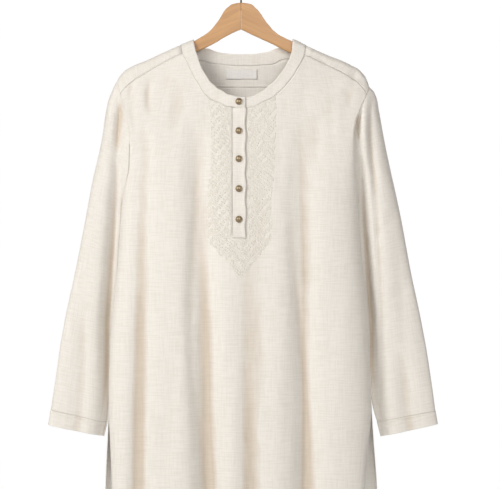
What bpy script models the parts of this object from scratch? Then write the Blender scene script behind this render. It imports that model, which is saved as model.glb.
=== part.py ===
import math

import bpy
import bmesh
from mathutils import Vector

mm = 0.001
cloth = 1.2 * mm
bandCloth = 2.0 * mm
stripCloth = 1.5 * mm
seamGap = 0.3 * mm
ridgeRadius = 8.5 * mm
bulgeReach = 90 * mm
midHalf = 210 * mm
underarm = -428.5 * mm
slitTop = -777 * mm
hemLevel = -945 * mm
armTop = -262 * mm
slotLow = -487 * mm
sideRound = 6.0
armThick = 11 * mm
wireRadius = 1.7 * mm
hookRadius = 20.7 * mm
buttonRadius = 6.1 * mm

# top line of the cloth over the hanger: x, z (mm)
ridgeRows = [
    (-217, -211), (-211, -202), (-197, -190.5), (-170.5, -179), (-143.7, -166.5), (-103.6, -148.6),
    (-84.9, -141), (-60, -133), (-30, -125.5), (0, -122.5), (30, -124), (60, -130), (91, -139.2),
    (113.8, -150.3), (154, -168.6), (195.7, -186.7), (214.4, -200.5), (222.3, -214), (225.5, -224)]

# side lines: z, left front, right front, left back, right back (mm)
sideRows = [
    (-945, -226.3, 216.8, -240.3, 240.5), (-929, -226.6, 217.5, -239.8, 239.8),
    (-850, -230, 223.5, -236, 234), (-777, -232.8, 229.3, -232.8, 229.3),
    (-711.7, -231.5, 226.3, -231.5, 226.3), (-626.3, -226, 222, -226, 222),
    (-510.8, -215, 212, -215, 212), (-454.1, -211.6, 208, -211.6, 208),
    (-428.5, -209.1, 206.5, -209.1, 206.5), (-397, -203, 203, -203, 203),
    (-354.3, -195.5, 198.2, -195.5, 198.2), (-312.7, -194.8, 196.8, -194.8, 196.8),
    (-288.5, -197.5, 199, -197.5, 199), (-268.4, -202.6, 206, -202.6, 206),
    (-251, -207.3, 214, -207.3, 214), (-238, -211, 220, -211, 220), (-223, -214.7, 225.5, -214.7, 225.5),
    (-210, -216.8, 228, -216.8, 228)]

# fullness: z, front depth, back depth (mm)
depthRows = [
    (-945, 38, 27), (-800, 37, 26), (-600, 36, 25), (-430, 35, 24), (-300, 36, 25), (-200, 36, 26),
    (-120, 36, 26)]

# folds: top z, low z, x at the top, x at the low end, half width, depth (mm; a minus depth stands out)
frontFolds = [
    (-262, -935, -168, -174, 14, 12), (-250, -935, -74, -50, 20, 18), (-540, -935, 14, 19, 13, 8),
    (-250, -935, 112, 122, 20, 17), (-430, -935, 203, 200, 10, 3.5), (-262, -935, -130, -130, 24, -5),
    (-300, -935, -20, -20, 20, -4), (-330, -935, 58, 56, 22, -4), (-262, -935, 166, 166, 24, -5)]
backFolds = [
    (-262, -935, -165, -176, 22, 9), (-250, -935, -84, -96, 20, 11), (-240, -935, 84, 72, 20, 12),
    (-262, -935, 160, 176, 22, 8), (-221, -780, 0, 0, 11, -4.5), (-300, -935, -40, -34, 20, -4),
    (-280, -935, 120, 126, 22, -5)]

# neck band stations: side (-1 front, 0 top, 1 back), inner x, inner z, seam x, seam z (mm)
neckRows = [
    (-1, 7.9, -243.3, 7.9, -261.8), (-1, -4, -242.3, -4, -261.6), (-1, -14.7, -240.2, -14.7, -260.4),
    (-1, -31.7, -232.5, -38, -252.5), (-1, -47.4, -221.7, -58, -241.5), (-1, -59.9, -206.1, -74, -219.5),
    (-1, -70.9, -185.8, -88, -194.5), (-1, -77.5, -166, -98, -173), (-1, -80.5, -157, -102.2, -164.5),
    (0, -83.3, 0, -104.5, 0), (1, -74, -150, -95, -166), (1, -56.7, -155, -66, -176),
    (1, -30, -162.5, -33, -182), (1, 2.6, -164.3, 3, -184.5), (1, 35, -162, 38, -183),
    (1, 60, -155, 72, -174.5), (1, 80, -148, 101, -164), (0, 91, 0, 114, 0),
    (-1, 89.6, -155, 112, -166), (-1, 87, -168, 108, -176), (-1, 80.5, -182.6, 98.5, -193),
    (-1, 64.8, -206.3, 82, -217), (-1, 49, -222, 62.5, -237), (-1, 30.8, -235.8, 40, -250.5),
    (-1, 12.3, -242.6, 16, -260), (-1, 6, -243.3, 6, -261.5), (-1, -4, -242.3, -4, -261.6),
    (-1, -12.5, -240.6, -12.5, -260.6)]

# sleeve lines, seam at the armhole to seam at the cuff: share of the length, outer x, outer z, inner x,
# inner z, outer y, inner y, half depth (mm)
sleeveLeftRows = [
    (0, -217, -211, -210, -428.5, 0, 0, 24), (0.05, -227.5, -232, -212, -434, 1, 9, 25),
    (0.12, -237, -262, -209, -452, 3, 18, 26), (0.2, -244.5, -312, -207, -480, 5, 24, 26),
    (0.35, -261, -385, -209.5, -532, 8, 26, 25), (0.5, -277, -470, -214.5, -594, 9, 26, 23),
    (0.65, -295, -560, -221, -655, 10, 26, 20), (0.8, -313.5, -648, -227.5, -722, 10, 25, 17),
    (0.92, -327, -735, -233.5, -782, 10, 24, 14.5), (1, -336, -794, -237.5, -816.5, 10, 23, 13)]
sleeveRightRows = [
    (0, 226, -225, 207.4, -428.5, 0, 0, 24), (0.05, 236.5, -238, 209.5, -434, 1, 9, 25),
    (0.12, 243, -266, 206.5, -452, 3, 18, 26), (0.2, 250, -305, 204, -480, 5, 24, 26),
    (0.35, 263.5, -370, 205.5, -532, 8, 26, 25), (0.5, 281, -450, 209.5, -594, 9, 26, 23),
    (0.65, 300, -552, 216, -655, 10, 26, 20), (0.8, 320, -648, 223.5, -722, 10, 25, 17),
    (0.92, 334.5, -735, 232.5, -782, 10, 24, 14.5), (1, 343, -796, 241.5, -815.3, 10, 23, 13)]
cuffLeftEnd = (-340.3, -820.5, -243.3, -840.6, 10, 22, 12.5)
cuffRightEnd = (347, -818.5, 248, -841, 10, 22, 12.5)

# sleeve folds on the front: top z, low z, x at the top, x at the low end, half width, depth (mm)
sleeveLeftFolds = [(-226, -640, -210, -237, 9, 13), (-420, -800, -262, -285, 13, 5),
                   (-300, -700, -243, -268, 10, -3)]
sleeveRightFolds = [(-215, -640, 203, 231, 8, 14), (-235, -420, 226, 236, 7, 5),
                    (-420, -800, 262, 290, 13, 5), (-300, -700, 245, 272, 10, -3)]

# hanger halves: x, top z, low z (mm)
armLeftRows = [
    (-0.15, -75, -122), (-13, -77.1, -127.3), (-22.4, -82.7, -132.1), (-30.1, -90.4, -136.2),
    (-36.4, -101.2, -140.1), (-44.3, -112.3, -145), (-53.5, -123.3, -149.7), (-63, -131, -154.3),
    (-72.5, -136.8, -158.6), (-83.3, -143.1, -163.6), (-103.6, -152.4, -173.9), (-143.7, -170.4, -192.2),
    (-170.5, -182.2, -203.6), (-192, -193.4, -213), (-201, -201.5, -210)]
armRightRows = [
    (0.15, -75, -122), (15, -77.1, -129.2), (26.1, -85, -134.5), (33.9, -93.5, -138), (40.1, -103, -141),
    (49.5, -115.2, -145), (61.9, -128, -151.3), (74.6, -135.9, -157.6), (91, -143.4, -165.3),
    (103.2, -149.4, -170.4), (154, -172.6, -193.1), (194, -190.4, -210.6), (203, -198.5, -207)]

colours = {
    "cloth": (0.80, 0.765, 0.70), "trim": (0.80, 0.765, 0.70), "label": (0.74, 0.71, 0.66),
    "brass": (0.24, 0.18, 0.10), "wood": (0.66, 0.43, 0.24), "steel": (0.10, 0.10, 0.10)}


def smoothCurve(rows, column):
    keys = [row[0] for row in rows]
    values = [row[column] for row in rows]
    if keys[0] > keys[-1]:
        keys.reverse()
        values.reverse()
    steps = [(values[i + 1] - values[i]) / (keys[i + 1] - keys[i]) for i in range(len(keys) - 1)]
    slopes = [steps[0]]
    for before, after in zip(steps, steps[1:]):
        slopes.append(2 * before * after / (before + after) if before * after > 0 else 0.0)
    slopes.append(steps[-1])

    def at(key):
        if key <= keys[0]:
            return values[0] + (key - keys[0]) * slopes[0]
        if key >= keys[-1]:
            return values[-1] + (key - keys[-1]) * slopes[-1]
        i = 0
        while keys[i + 1] < key:
            i += 1
        span = keys[i + 1] - keys[i]
        t = (key - keys[i]) / span
        near = values[i] + span * slopes[i] * t
        far = values[i + 1] - span * slopes[i + 1] * (1 - t)
        ease = t * t * (3 - 2 * t)
        return near * (1 - ease) + far * ease
    return at


def inMetres(rows, skip=1):
    return [tuple(row[:skip]) + tuple(value * mm for value in row[skip:]) for row in rows]


ridgeAt = smoothCurve(inMetres(ridgeRows, 0), 1)
sideAt = {(-1, -1): smoothCurve(inMetres(sideRows, 0), 1), (-1, 1): smoothCurve(inMetres(sideRows, 0), 2),
          (1, -1): smoothCurve(inMetres(sideRows, 0), 3), (1, 1): smoothCurve(inMetres(sideRows, 0), 4)}
depthAt = {-1: smoothCurve(inMetres(depthRows, 0), 1), 1: smoothCurve(inMetres(depthRows, 0), 2)}
foldRows = {-1: inMetres(frontFolds, 0), 1: inMetres(backFolds, 0)}
seamLeft = -211.4 * mm
seamRight = 220.6 * mm
frontCorner = -237 * mm


def foldSum(rows, x, z):
    total = 0.0
    for topZ, lowZ, topX, lowX, width, depth in rows:
        run = (topZ - z) / (topZ - lowZ)
        if run <= 0:
            continue
        run = min(run, 1.0)
        middle = topX + (lowX - topX) * run
        rise = run ** 0.6 * min(1.0, run * 9)
        total += depth * rise * math.exp(-((x - middle) / width) ** 2 / 2)
    return total


def bodyOut(side, x, z, drop):
    full = depthAt[side](z)
    if drop < ridgeRadius:
        out = math.sqrt(max(0.0, ridgeRadius ** 2 - (ridgeRadius - drop) ** 2))
    else:
        out = ridgeRadius
    return out + (full - ridgeRadius) * (1 - math.exp(-drop / bulgeReach))


def openShare(z):
    if z > armTop:
        return 1.0
    if z > underarm:
        rise = (z - underarm) / (armTop - underarm)
        return 1 - (1 - rise) ** 2
    if z < slitTop:
        return 0.45 * ((slitTop - z) / (slitTop - hemLevel)) ** 0.9
    return 0.0


def halfWidth(side, way, z):
    return abs(sideAt[side, way](min(z, frontCorner)))


def shareOf(side, x, z):
    grow = halfWidth(side, -1 if x < 0 else 1, z) - midHalf
    root = math.sqrt(midHalf ** 2 + 4 * grow * abs(x))
    share = abs(x) / midHalf if abs(grow) < 1e-7 else (root - midHalf) / (2 * grow)
    return math.copysign(share, x)


def bodyPoint(side, share, z):
    grow = halfWidth(side, -1 if share < 0 else 1, z) - midHalf
    x = share * (midHalf + grow * abs(share))
    out = bodyOut(side, x, z, max(0.0, ridgeAt(x) - z))
    open_ = openShare(z)
    closing = math.sqrt(max(0.0, 1 - abs(share) ** sideRound))
    out = out * (open_ + (1 - open_) * closing)
    out -= foldSum(foldRows[side], x, z) * (1 - abs(share) ** 8)
    return Vector((x, side * (out + seamGap / 2), z))


def topPoint(x, along):
    side = -1 if along < 0 else 1
    quarter = ridgeRadius * math.pi / 2
    if abs(along) < quarter:
        drop = ridgeRadius * (1 - math.cos(along / ridgeRadius))
    else:
        drop = ridgeRadius + abs(along) - quarter
    z = ridgeAt(x) - drop
    flat = bodyOut(side, x, z, drop)
    if abs(along) < quarter:
        round_ = math.sqrt(max(0.0, ridgeRadius ** 2 - (ridgeRadius - drop) ** 2))
        flat += ridgeRadius * math.sin(abs(along) / ridgeRadius) - round_
    return Vector((x, side * (flat + seamGap / 2 * min(1.0, abs(along) / quarter)), z))


def alongOf(side, x, z):
    if side == 0:
        return 0.0
    drop = ridgeAt(x) - z
    quarter = ridgeRadius * math.pi / 2
    if drop < ridgeRadius:
        return side * ridgeRadius * math.acos(max(-1.0, min(1.0, 1 - drop / ridgeRadius)))
    return side * (drop - ridgeRadius + quarter)


def gridNormals(points, wrap):
    rows = len(points)
    cols = len(points[0])
    normals = [[Vector() for _ in range(cols)] for _ in range(rows)]
    for i in range(rows - 1):
        for j in range(cols if wrap else cols - 1):
            k = (j + 1) % cols
            a, b, c, d = points[i][j], points[i][k], points[i + 1][k], points[i + 1][j]
            face = (c - a).cross(d - b)
            for r, s in ((i, j), (i, k), (i + 1, k), (i + 1, j)):
                normals[r][s] += face
    return [[normal.normalized() for normal in row] for row in normals]


def pullEdge(points, line, inner, amount):
    moved = []
    for k, (i, j) in enumerate(line):
        before = points[line[max(0, k - 1)][0]][line[max(0, k - 1)][1]]
        last = min(len(line) - 1, k + 1)
        after = points[line[last][0]][line[last][1]]
        tangent = (after - before).normalized()
        here = points[i][j]
        away = points[inner[k][0]][inner[k][1]] - here
        away -= tangent * away.dot(tangent)
        moved.append(here + away.normalized() * amount)
    for (i, j), place in zip(line, moved):
        points[i][j] = place


def material(slot):
    made = bpy.data.materials.get(slot) or bpy.data.materials.new(slot)
    made.use_nodes = True
    shader = made.node_tree.nodes["Principled BSDF"]
    shader.inputs["Base Color"].default_value = (*colours[slot], 1)
    shader.inputs["Roughness"].default_value = 0.4 if slot in ("brass", "steel") else 0.8
    shader.inputs["Metallic"].default_value = 1.0 if slot in ("brass", "steel") else 0.0
    return made


def addObject(name, mesh, slot):
    bmesh.ops.recalc_face_normals(mesh, faces=mesh.faces)
    data = bpy.data.meshes.new(name)
    mesh.to_mesh(data)
    mesh.free()
    made = bpy.data.objects.new(name, data)
    bpy.context.scene.collection.objects.link(made)
    data.materials.append(material(slot))
    return made


def addSheet(name, points, slot, thick=cloth, wrap=False, normals=None, leftOut=(), rise=0.0):
    mesh = bmesh.new()
    normals = normals or gridNormals(points, wrap)
    layers = []
    for offset in (rise + thick / 2, rise - thick / 2):
        layers.append([[mesh.verts.new(point + normal * offset) for point, normal in zip(row, ways)]
                       for row, ways in zip(points, normals)])
    rows = len(points)
    cols = len(points[0])
    cells = {(i, j) for i in range(rows - 1) for j in range(cols if wrap else cols - 1)} - set(leftOut)
    edges = {}
    for i, j in cells:
        k = (j + 1) % cols
        ring = ((i, j), (i, k), (i + 1, k), (i + 1, j))
        mesh.faces.new([layers[0][r][s] for r, s in ring])
        mesh.faces.new([layers[1][r][s] for r, s in reversed(ring)])
        for a, b in zip(ring, ring[1:] + ring[:1]):
            if (b, a) in edges:
                del edges[b, a]
            else:
                edges[a, b] = True
    for a, b in edges:
        mesh.faces.new((layers[0][b[0]][b[1]], layers[0][a[0]][a[1]], layers[1][a[0]][a[1]],
                        layers[1][b[0]][b[1]]))
    loose = [vert for vert in mesh.verts if not vert.link_faces]
    bmesh.ops.delete(mesh, geom=loose, context="VERTS")
    return addObject(name, mesh, slot)


for old in list(bpy.data.objects):
    bpy.data.objects.remove(old, do_unlink=True)

# neck stations
band = []
for side, innerX, innerZ, seamX, seamZ in neckRows:
    innerX, innerZ, seamX, seamZ = innerX * mm, innerZ * mm, seamX * mm, seamZ * mm
    band.append((innerX, alongOf(side, innerX, innerZ), seamX, alongOf(side, seamX, seamZ)))
keys = [0.0]
for a, b in zip(band, band[1:]):
    keys.append(keys[-1] + math.hypot(b[2] - a[2], b[3] - a[3]))
bandAt = [smoothCurve([(key, row[i]) for key, row in zip(keys, band)], 1) for i in range(4)]


def keyOf(row):
    return keys[row]


def split(start, end, count):
    return [start + (end - start) * i / count for i in range(count + 1)]


# shares of the shoulder between the neck corner and the armhole
shoulderSteps = [0.0, 0.22, 0.42, 0.6, 0.75, 0.87, 0.945, 0.985, 1.0]
leftFrontKeys = split(keyOf(2), keyOf(8), 9)
rightFrontKeys = split(keyOf(25), keyOf(18), 10)
leftTopKeys = split(keyOf(8), keyOf(9), 4)
rightTopKeys = split(keyOf(17), keyOf(18), 4)
backKeys = split(keyOf(9), keyOf(17), 30)


def seamPoint(key):
    return bandAt[2](key), bandAt[3](key)


def frontSeam(way, step):
    startX, startAlong = seamPoint(keyOf(8) if way < 0 else keyOf(18))
    endX = seamLeft if way < 0 else seamRight
    x = startX + (endX - startX) * step
    endAlong = alongOf(-1, endX, frontCorner)
    return x, startAlong + (endAlong - startAlong) * step ** 2.2


def topZ(x, along):
    return topPoint(x, along).z


# front panel: column tops from the left armhole to the right one
tops = [frontSeam(-1, step) for step in reversed(shoulderSteps)]
tops += [seamPoint(key) for key in reversed(leftFrontKeys[:-1])]
notchLeft = len(tops)
tops[-1] = (tops[-1][0], tops[-1][1])
tops.append((-12.8 * mm, alongOf(-1, -12.8 * mm, -260.8 * mm)))
tops.append((6.0 * mm, alongOf(-1, 6.0 * mm, -261.5 * mm)))
tops += [seamPoint(key) for key in rightFrontKeys[1:]]
tops += [frontSeam(1, step) for step in shoulderSteps[1:]]
armLevels = [underarm + (frontCorner - underarm) * share for share in
             (1.0, 0.9, 0.8, 0.7, 0.6, 0.5, 0.4, 0.3, 0.2, 0.12, 0.05, 0.0)]
sideLevels = [slotLow] + split(underarm, slitTop, 13)[1:]
sideLevels = sorted({round(level, 6) for level in sideLevels if abs(level - slotLow) > 9 * mm} | {slotLow},
                    reverse=True)
slitLevels = split(slitTop, hemLevel, 5)[1:]
levels = armLevels + sideLevels + slitLevels
slotRow = levels.index(slotLow)


def panelPoints(side, tops, corner):
    grid = []
    for level in levels if side < 0 else backLevels:
        row = []
        for x, along in tops:
            top = topZ(x, along)
            edge = x in (tops[0][0], tops[-1][0])
            z = level
            if level > underarm and not edge:
                z = underarm + (level - underarm) * (top - underarm) / (corner - underarm)
            share = math.copysign(1.0, x) if edge else shareOf(side, x, top)
            row.append(bodyPoint(side, share, z))
        grid.append(row)
    return grid


def sideNormals(points, side, normals):
    for i, row in enumerate(points):
        z = row[0].z
        if z > underarm:
            hold = max(0.0, 1 - (z - underarm) / (30 * mm))
        elif z < slitTop:
            hold = max(0.0, 1 - (slitTop - z) / (60 * mm))
        else:
            hold = 1.0
        for j, way in ((0, -1), (-1, 1)):
            flat = Vector((way, 0, 0))
            normals[i][j] = (normals[i][j] * (1 - hold) + flat * hold).normalized()


frontPoints = panelPoints(-1, tops, frontCorner)
columns = len(tops)
frontArm = {-1: [row[0].copy() for row in frontPoints[:len(armLevels)]],
            1: [row[-1].copy() for row in frontPoints[:len(armLevels)]]}
pullEdge(frontPoints, [(0, j) for j in range(columns)], [(1, j) for j in range(columns)], seamGap / 2)
frontNormals = gridNormals(frontPoints, False)
if frontNormals[5][columns // 2].y > 0:
    frontNormals = [[-normal for normal in row] for row in frontNormals]
sideNormals(frontPoints, -1, frontNormals)
slot = [(i, notchLeft) for i in range(slotRow)]
addSheet("front", frontPoints, "cloth", normals=frontNormals, leftOut=slot)

# back panel
backCorner = armTop
backSteps = [0.0, 0.02, 0.08, 0.18, 0.32, 0.5, 0.72, 1.0]
backEdge = 60 * mm
armBackLeft = sideAt[1, -1](backCorner)
armBackRight = sideAt[1, 1](backCorner)


def backSeamZ(x):
    over = max(0.0, (abs(x) - backEdge) / (armBackRight - backEdge))
    return (-221 - 41 * min(1.0, over) ** 1.6) * mm


backX = [armBackLeft + (-backEdge - armBackLeft) * step for step in backSteps]
backX += split(-backEdge, backEdge, 10)[1:-1]
backX += [armBackRight + (backEdge - armBackRight) * step for step in reversed(backSteps)]
backTops = [(x, alongOf(1, x, backSeamZ(x))) for x in backX]
backTops[0] = (armBackLeft, alongOf(1, armBackLeft, backCorner))
backTops[-1] = (armBackRight, alongOf(1, armBackRight, backCorner))
backArm = [underarm + (backCorner - underarm) * share for share in
           (1.0, 0.88, 0.76, 0.64, 0.52, 0.4, 0.29, 0.19, 0.11, 0.045, 0.0)]
backLevels = backArm + split(underarm, slitTop, 13)[1:] + split(slitTop, hemLevel, 5)[1:]
backPoints = panelPoints(1, backTops, backCorner)
backCols = len(backTops)
backArmEdge = {-1: [row[0].copy() for row in backPoints[:len(backArm)]],
               1: [row[-1].copy() for row in backPoints[:len(backArm)]]}
pullEdge(backPoints, [(0, j) for j in range(backCols)], [(1, j) for j in range(backCols)], seamGap / 2)
backNormals = gridNormals(backPoints, False)
if backNormals[5][backCols // 2].y < 0:
    backNormals = [[-normal for normal in row] for row in backNormals]
sideNormals(backPoints, 1, backNormals)
addSheet("back", backPoints, "cloth", normals=backNormals)

# yoke: stations from the left front seam over the shoulder, across the back, to the right front seam
topShares = [1.0, 0.75, 0.5, 0.3, 0.14, 0.0]
backShares = [0.14, 0.3, 0.5, 0.75]


def armEdge(way, side, share):
    x = sideAt[-1, way](-225 * mm)
    for _ in range(12):
        x = (x + sideAt[-1, way](ridgeAt(x))) / 2
    peak = ridgeAt(x)
    if share == 0:
        return x, 0.0
    low = frontCorner if side < 0 else armTop
    z = peak + (low - peak) * (1 - math.cos(share * math.pi / 2))
    x = sideAt[-1, way](z)
    return x, alongOf(side, x, z)


def shoulderLine(way, share):
    key = (keyOf(9) + (keyOf(8) - keyOf(9)) * share) if way < 0 else \
        (keyOf(17) + (keyOf(18) - keyOf(17)) * share)
    x, along = seamPoint(key)
    endX, endAlong = armEdge(way, -1, share)
    if share == 1:
        endX = seamLeft if way < 0 else seamRight
        endAlong = alongOf(-1, endX, frontCorner)
    return [(x + (endX - x) * step, along + (endAlong - along) * step ** 2.2) for step in shoulderSteps]


lines = [shoulderLine(-1, share) for share in topShares]
neckStart, neckEnd = keyOf(9), keyOf(17)
neckTurn = 0.16
outer = [armEdge(-1, 1, share) for share in backShares]
outer += backTops
outer += [armEdge(1, 1, share) for share in reversed(backShares)]
total = [0.0]
for a, b in zip(outer, outer[1:]):
    total.append(total[-1] + math.hypot(b[0] - a[0], b[1] - a[1]))
count = len(backShares)
inner = []
for i in range(len(outer)):
    if i < count:
        share = neckTurn * (i + 1) / (count + 1)
    elif i >= len(outer) - count:
        share = 1 - neckTurn * (len(outer) - i) / (count + 1)
    else:
        run = (backTops[i - count][0] - armBackLeft) / (armBackRight - armBackLeft)
        run = run + 0.35 * (i - count) / (len(backTops) - 1)
        share = neckTurn + (1 - 2 * neckTurn) * run / 1.35
    inner.append(neckStart + (neckEnd - neckStart) * share)
for key, (endX, endAlong) in zip(inner, outer):
    x, along = seamPoint(key)
    lines.append([(x + (endX - x) * step, along + (endAlong - along) * step) for step in shoulderSteps])
lines += [shoulderLine(1, share) for share in reversed(topShares)]
yokePoints = [[topPoint(x, along) for x, along in line] for line in lines]
yokeRows = len(yokePoints)
steps = len(shoulderSteps)
leftRows = len(topShares) + count
armYoke = {-1: [row[-1].copy() for row in yokePoints[:leftRows + 1]],
           1: [row[-1].copy() for row in yokePoints[yokeRows - leftRows - 1:]]}
neckEdge = [row[0].copy() for row in yokePoints]
for edge, inside in (([(0, j) for j in range(steps)], [(1, j) for j in range(steps)]),
                     ([(yokeRows - 1, j) for j in range(steps)], [(yokeRows - 2, j) for j in range(steps)]),
                     ([(i, 0) for i in range(yokeRows)], [(i, 1) for i in range(yokeRows)]),
                     ([(i, steps - 1) for i in range(leftRows, yokeRows - leftRows)],
                      [(i, steps - 2) for i in range(leftRows, yokeRows - leftRows)])):
    pullEdge(yokePoints, edge, inside, seamGap / 2)
yokeNormals = gridNormals(yokePoints, False)
if yokeNormals[yokeRows // 2][1].y < 0:
    yokeNormals = [[-normal for normal in row] for row in yokeNormals]
addSheet("yoke", yokePoints, "cloth", normals=yokeNormals)

# neck band
bandKeys = [keyOf(0), keyOf(1), keyOf(2)] + leftFrontKeys[1:]
bandKeys += [keyOf(9) + (keyOf(8) - keyOf(9)) * share for share in topShares[1:]]
bandKeys += inner
bandKeys += [keyOf(17) + (keyOf(18) - keyOf(17)) * share for share in reversed(topShares)]
bandKeys += list(reversed(rightFrontKeys[:-1])) + [keyOf(26), keyOf(27)]
bandPoints = []
for key in bandKeys:
    innerX, innerAlong, seamX, seamAlong = [curve(key) for curve in bandAt]
    bandPoints.append([topPoint(innerX + (seamX - innerX) * step, innerAlong + (seamAlong - innerAlong) * step)
                       for step in (0.0, 0.5, 1.0)])
stations = len(bandPoints)
pullEdge(bandPoints, [(i, 2) for i in range(stations)], [(i, 1) for i in range(stations)], seamGap / 2)
bandNormals = gridNormals(bandPoints, False)
if bandNormals[stations // 2][1].y < 0:
    bandNormals = [[-normal for normal in row] for row in bandNormals]
for i, lift in enumerate((2.4, 2.4, 2.4, 1.4)):
    for j in range(3):
        bandPoints[i][j] = bandPoints[i][j] + bandNormals[i][j] * lift * mm
addSheet("collar", bandPoints, "trim", thick=bandCloth, normals=bandNormals)


# plackets, from the front's own surface
def stripPoints(xs, lowest, rise):
    grid = []
    for level in levels[:slotRow] + [lowest]:
        row = []
        for x in xs:
            top = topZ(x, alongOf(-1, x, -261.2 * mm)) - 0.5 * mm
            z = level
            if level > underarm:
                z = underarm + (level - underarm) * (top - underarm) / (frontCorner - underarm)
            here = bodyPoint(-1, shareOf(-1, x, z), z)
            row.append(here)
        grid.append(row)
    normals = gridNormals(grid, False)
    if normals[1][1].y > 0:
        normals = [[-normal for normal in row] for row in normals]
    return [[point + normal * rise for point, normal in zip(row, ways)]
            for row, ways in zip(grid, normals)], normals


overPoints, overNormals = stripPoints([-14.7 * mm, -3.4 * mm, 7.9 * mm], -489.4 * mm, 1.75 * mm)
addSheet("placket_over", overPoints, "trim", thick=stripCloth, normals=overNormals)
underPoints, underNormals = stripPoints([-12.4 * mm, -3.4 * mm, 5.6 * mm], -486.5 * mm, 0.0)
addSheet("placket_under", underPoints, "trim", normals=underNormals)

# label on the inside of the back yoke
labelPoints = []
for z in (-191, -197, -203, -208.5):
    labelPoints.append([topPoint(x * mm, alongOf(1, x * mm, z * mm)) for x in (-27.1, -13.3, 0.6, 14.5, 28.4)])
labelNormals = gridNormals(labelPoints, False)
if labelNormals[1][1].y > 0:
    labelNormals = [[-normal for normal in row] for row in labelNormals]
addSheet("label", labelPoints, "label", thick=0.6 * mm, normals=labelNormals, rise=1.35 * mm)


# sleeves and cuffs
def sleevePoints(way, rows, folds, end, rings):
    curves = [smoothCurve([(row[0], row[i] * mm) for row in rows], 1) for i in range(1, 8)]
    front = [point for point in frontArm[way]]
    backEdge = [point for point in backArmEdge[way]]
    over = armYoke[way] if way < 0 else list(reversed(armYoke[way]))
    crest = topShares.index(0.0)
    ring = over[crest::-1][:-1] + front[:-1]
    ring += [Vector((front[-1].x, 0, front[-1].z))]
    ring += list(reversed(backEdge[1:-1])) + list(reversed(over[crest + 1:]))
    bottom = crest + len(front) - 1
    outerLine = ring[0]
    innerLine = ring[bottom]
    middle = (outerLine + innerLine) / 2
    half = (outerLine - innerLine) / 2
    angles = []
    for k, point in enumerate(ring):
        turn = max(-1.0, min(1.0, (point - middle).dot(half) / half.length_squared))
        angles.append(math.acos(turn) * (1 if point.y <= 0 else -1))
    angles[0] = 0.0
    angles[bottom] = math.pi
    least = math.radians(5)
    for k in range(1, bottom):
        angles[k] = max(angles[k], angles[k - 1] + least)
    for k in range(len(ring) - 1, bottom, -1):
        angles[k] = min(angles[k], (0.0 if k == len(ring) - 1 else angles[k + 1]) - least)

    def ringAt(t, sizes=None):
        outX, outZ, inX, inZ, outY, inY, deep = sizes or [curve(t) for curve in curves]
        start = Vector((outX, outY, outZ))
        stop = Vector((inX, inY, inZ))
        centre = (start + stop) / 2
        arm = (start - stop) / 2
        made = []
        for angle in angles:
            point = centre + arm * math.cos(angle)
            point.y -= deep * math.sin(angle)
            made.append(point)
        return made

    base = ringAt(0)
    shift = [point - start for point, start in zip(ring, base)]
    grid = []
    for t in rings:
        fade = max(0.0, 1 - t / 0.3) ** 2
        row = []
        for point, delta, angle in zip(ringAt(t), shift, angles):
            place = point + delta * fade
            if t > 0:
                ease = min(1.0, t / 0.06)
                amount = foldSum(inMetres(folds, 0), place.x, place.z) * ease
                place.y += amount * max(0.0, math.sin(angle)) ** 0.7
                back = foldSum(inMetres(folds, 0), place.x + way * 14 * mm, place.z) * ease
                place.y -= 0.6 * back * max(0.0, -math.sin(angle)) ** 0.7
            row.append(place)
        grid.append(row)
    normals = gridNormals(grid, True)
    centre = sum(grid[4], Vector()) / len(angles)
    if normals[4][crest + 6].dot(grid[4][crest + 6] - centre) < 0:
        normals = [[-normal for normal in row] for row in normals]
    edge = []
    for k, (point, normal) in enumerate(zip(grid[0], normals[0])):
        body = bodyEdgeNormal(way, point, k, bottom)
        lean = abs(body.x)
        grid[0][k] = point + Vector((way, 0, 0)) * (seamGap + 0.62 * cloth * lean)
        hold = min(1.0, abs(k - bottom) / 3)
        normals[0][k] = (body * hold + normal * (1 - hold)).normalized()
    last = ringAt(1)
    low = ringAt(1, [value * mm for value in end])
    down = [(b - a) for a, b in zip(last, low)]
    cuff = [[point + way_.normalized() * seamGap for point, way_ in zip(grid[-1], down)]]
    for step in (0.5, 1.0):
        cuff.append([point + way_ * step for point, way_ in zip(grid[-1], down)])
    return grid, normals, cuff


def bodyEdgeNormal(way, point, k, bottom):
    if point.z > frontCorner:
        rows, column = yokePoints, -1
        choice = [(row[column], ways[column]) for row, ways in zip(yokePoints, yokeNormals)]
    elif k <= bottom:
        choice = [(row[0 if way < 0 else -1], ways[0 if way < 0 else -1])
                  for row, ways in zip(frontPoints, frontNormals)]
    else:
        choice = [(row[0 if way < 0 else -1], ways[0 if way < 0 else -1])
                  for row, ways in zip(backPoints, backNormals)]
        choice += [(row[-1], ways[-1]) for row, ways in zip(yokePoints, yokeNormals)]
    return min(choice, key=lambda pair: (pair[0] - point).length)[1]


rings = [0, 0.03, 0.065, 0.105, 0.15] + split(0.2, 1.0, 13)
for way, name, rows, folds, end in ((-1, "left", sleeveLeftRows, sleeveLeftFolds, cuffLeftEnd),
                                    (1, "right", sleeveRightRows, sleeveRightFolds, cuffRightEnd)):
    points, normals, cuff = sleevePoints(way, rows, folds, end, rings)
    addSheet("sleeve_" + name, points, "cloth", wrap=True, normals=normals)
    cuffNormals = gridNormals(cuff, True)
    middle = sum(cuff[1], Vector()) / len(cuff[1])
    if cuffNormals[1][8].dot(cuff[1][8] - middle) < 0:
        cuffNormals = [[-normal for normal in row] for row in cuffNormals]
    addSheet("cuff_" + name, cuff, "trim", thick=bandCloth, wrap=True, normals=cuffNormals)


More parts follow.
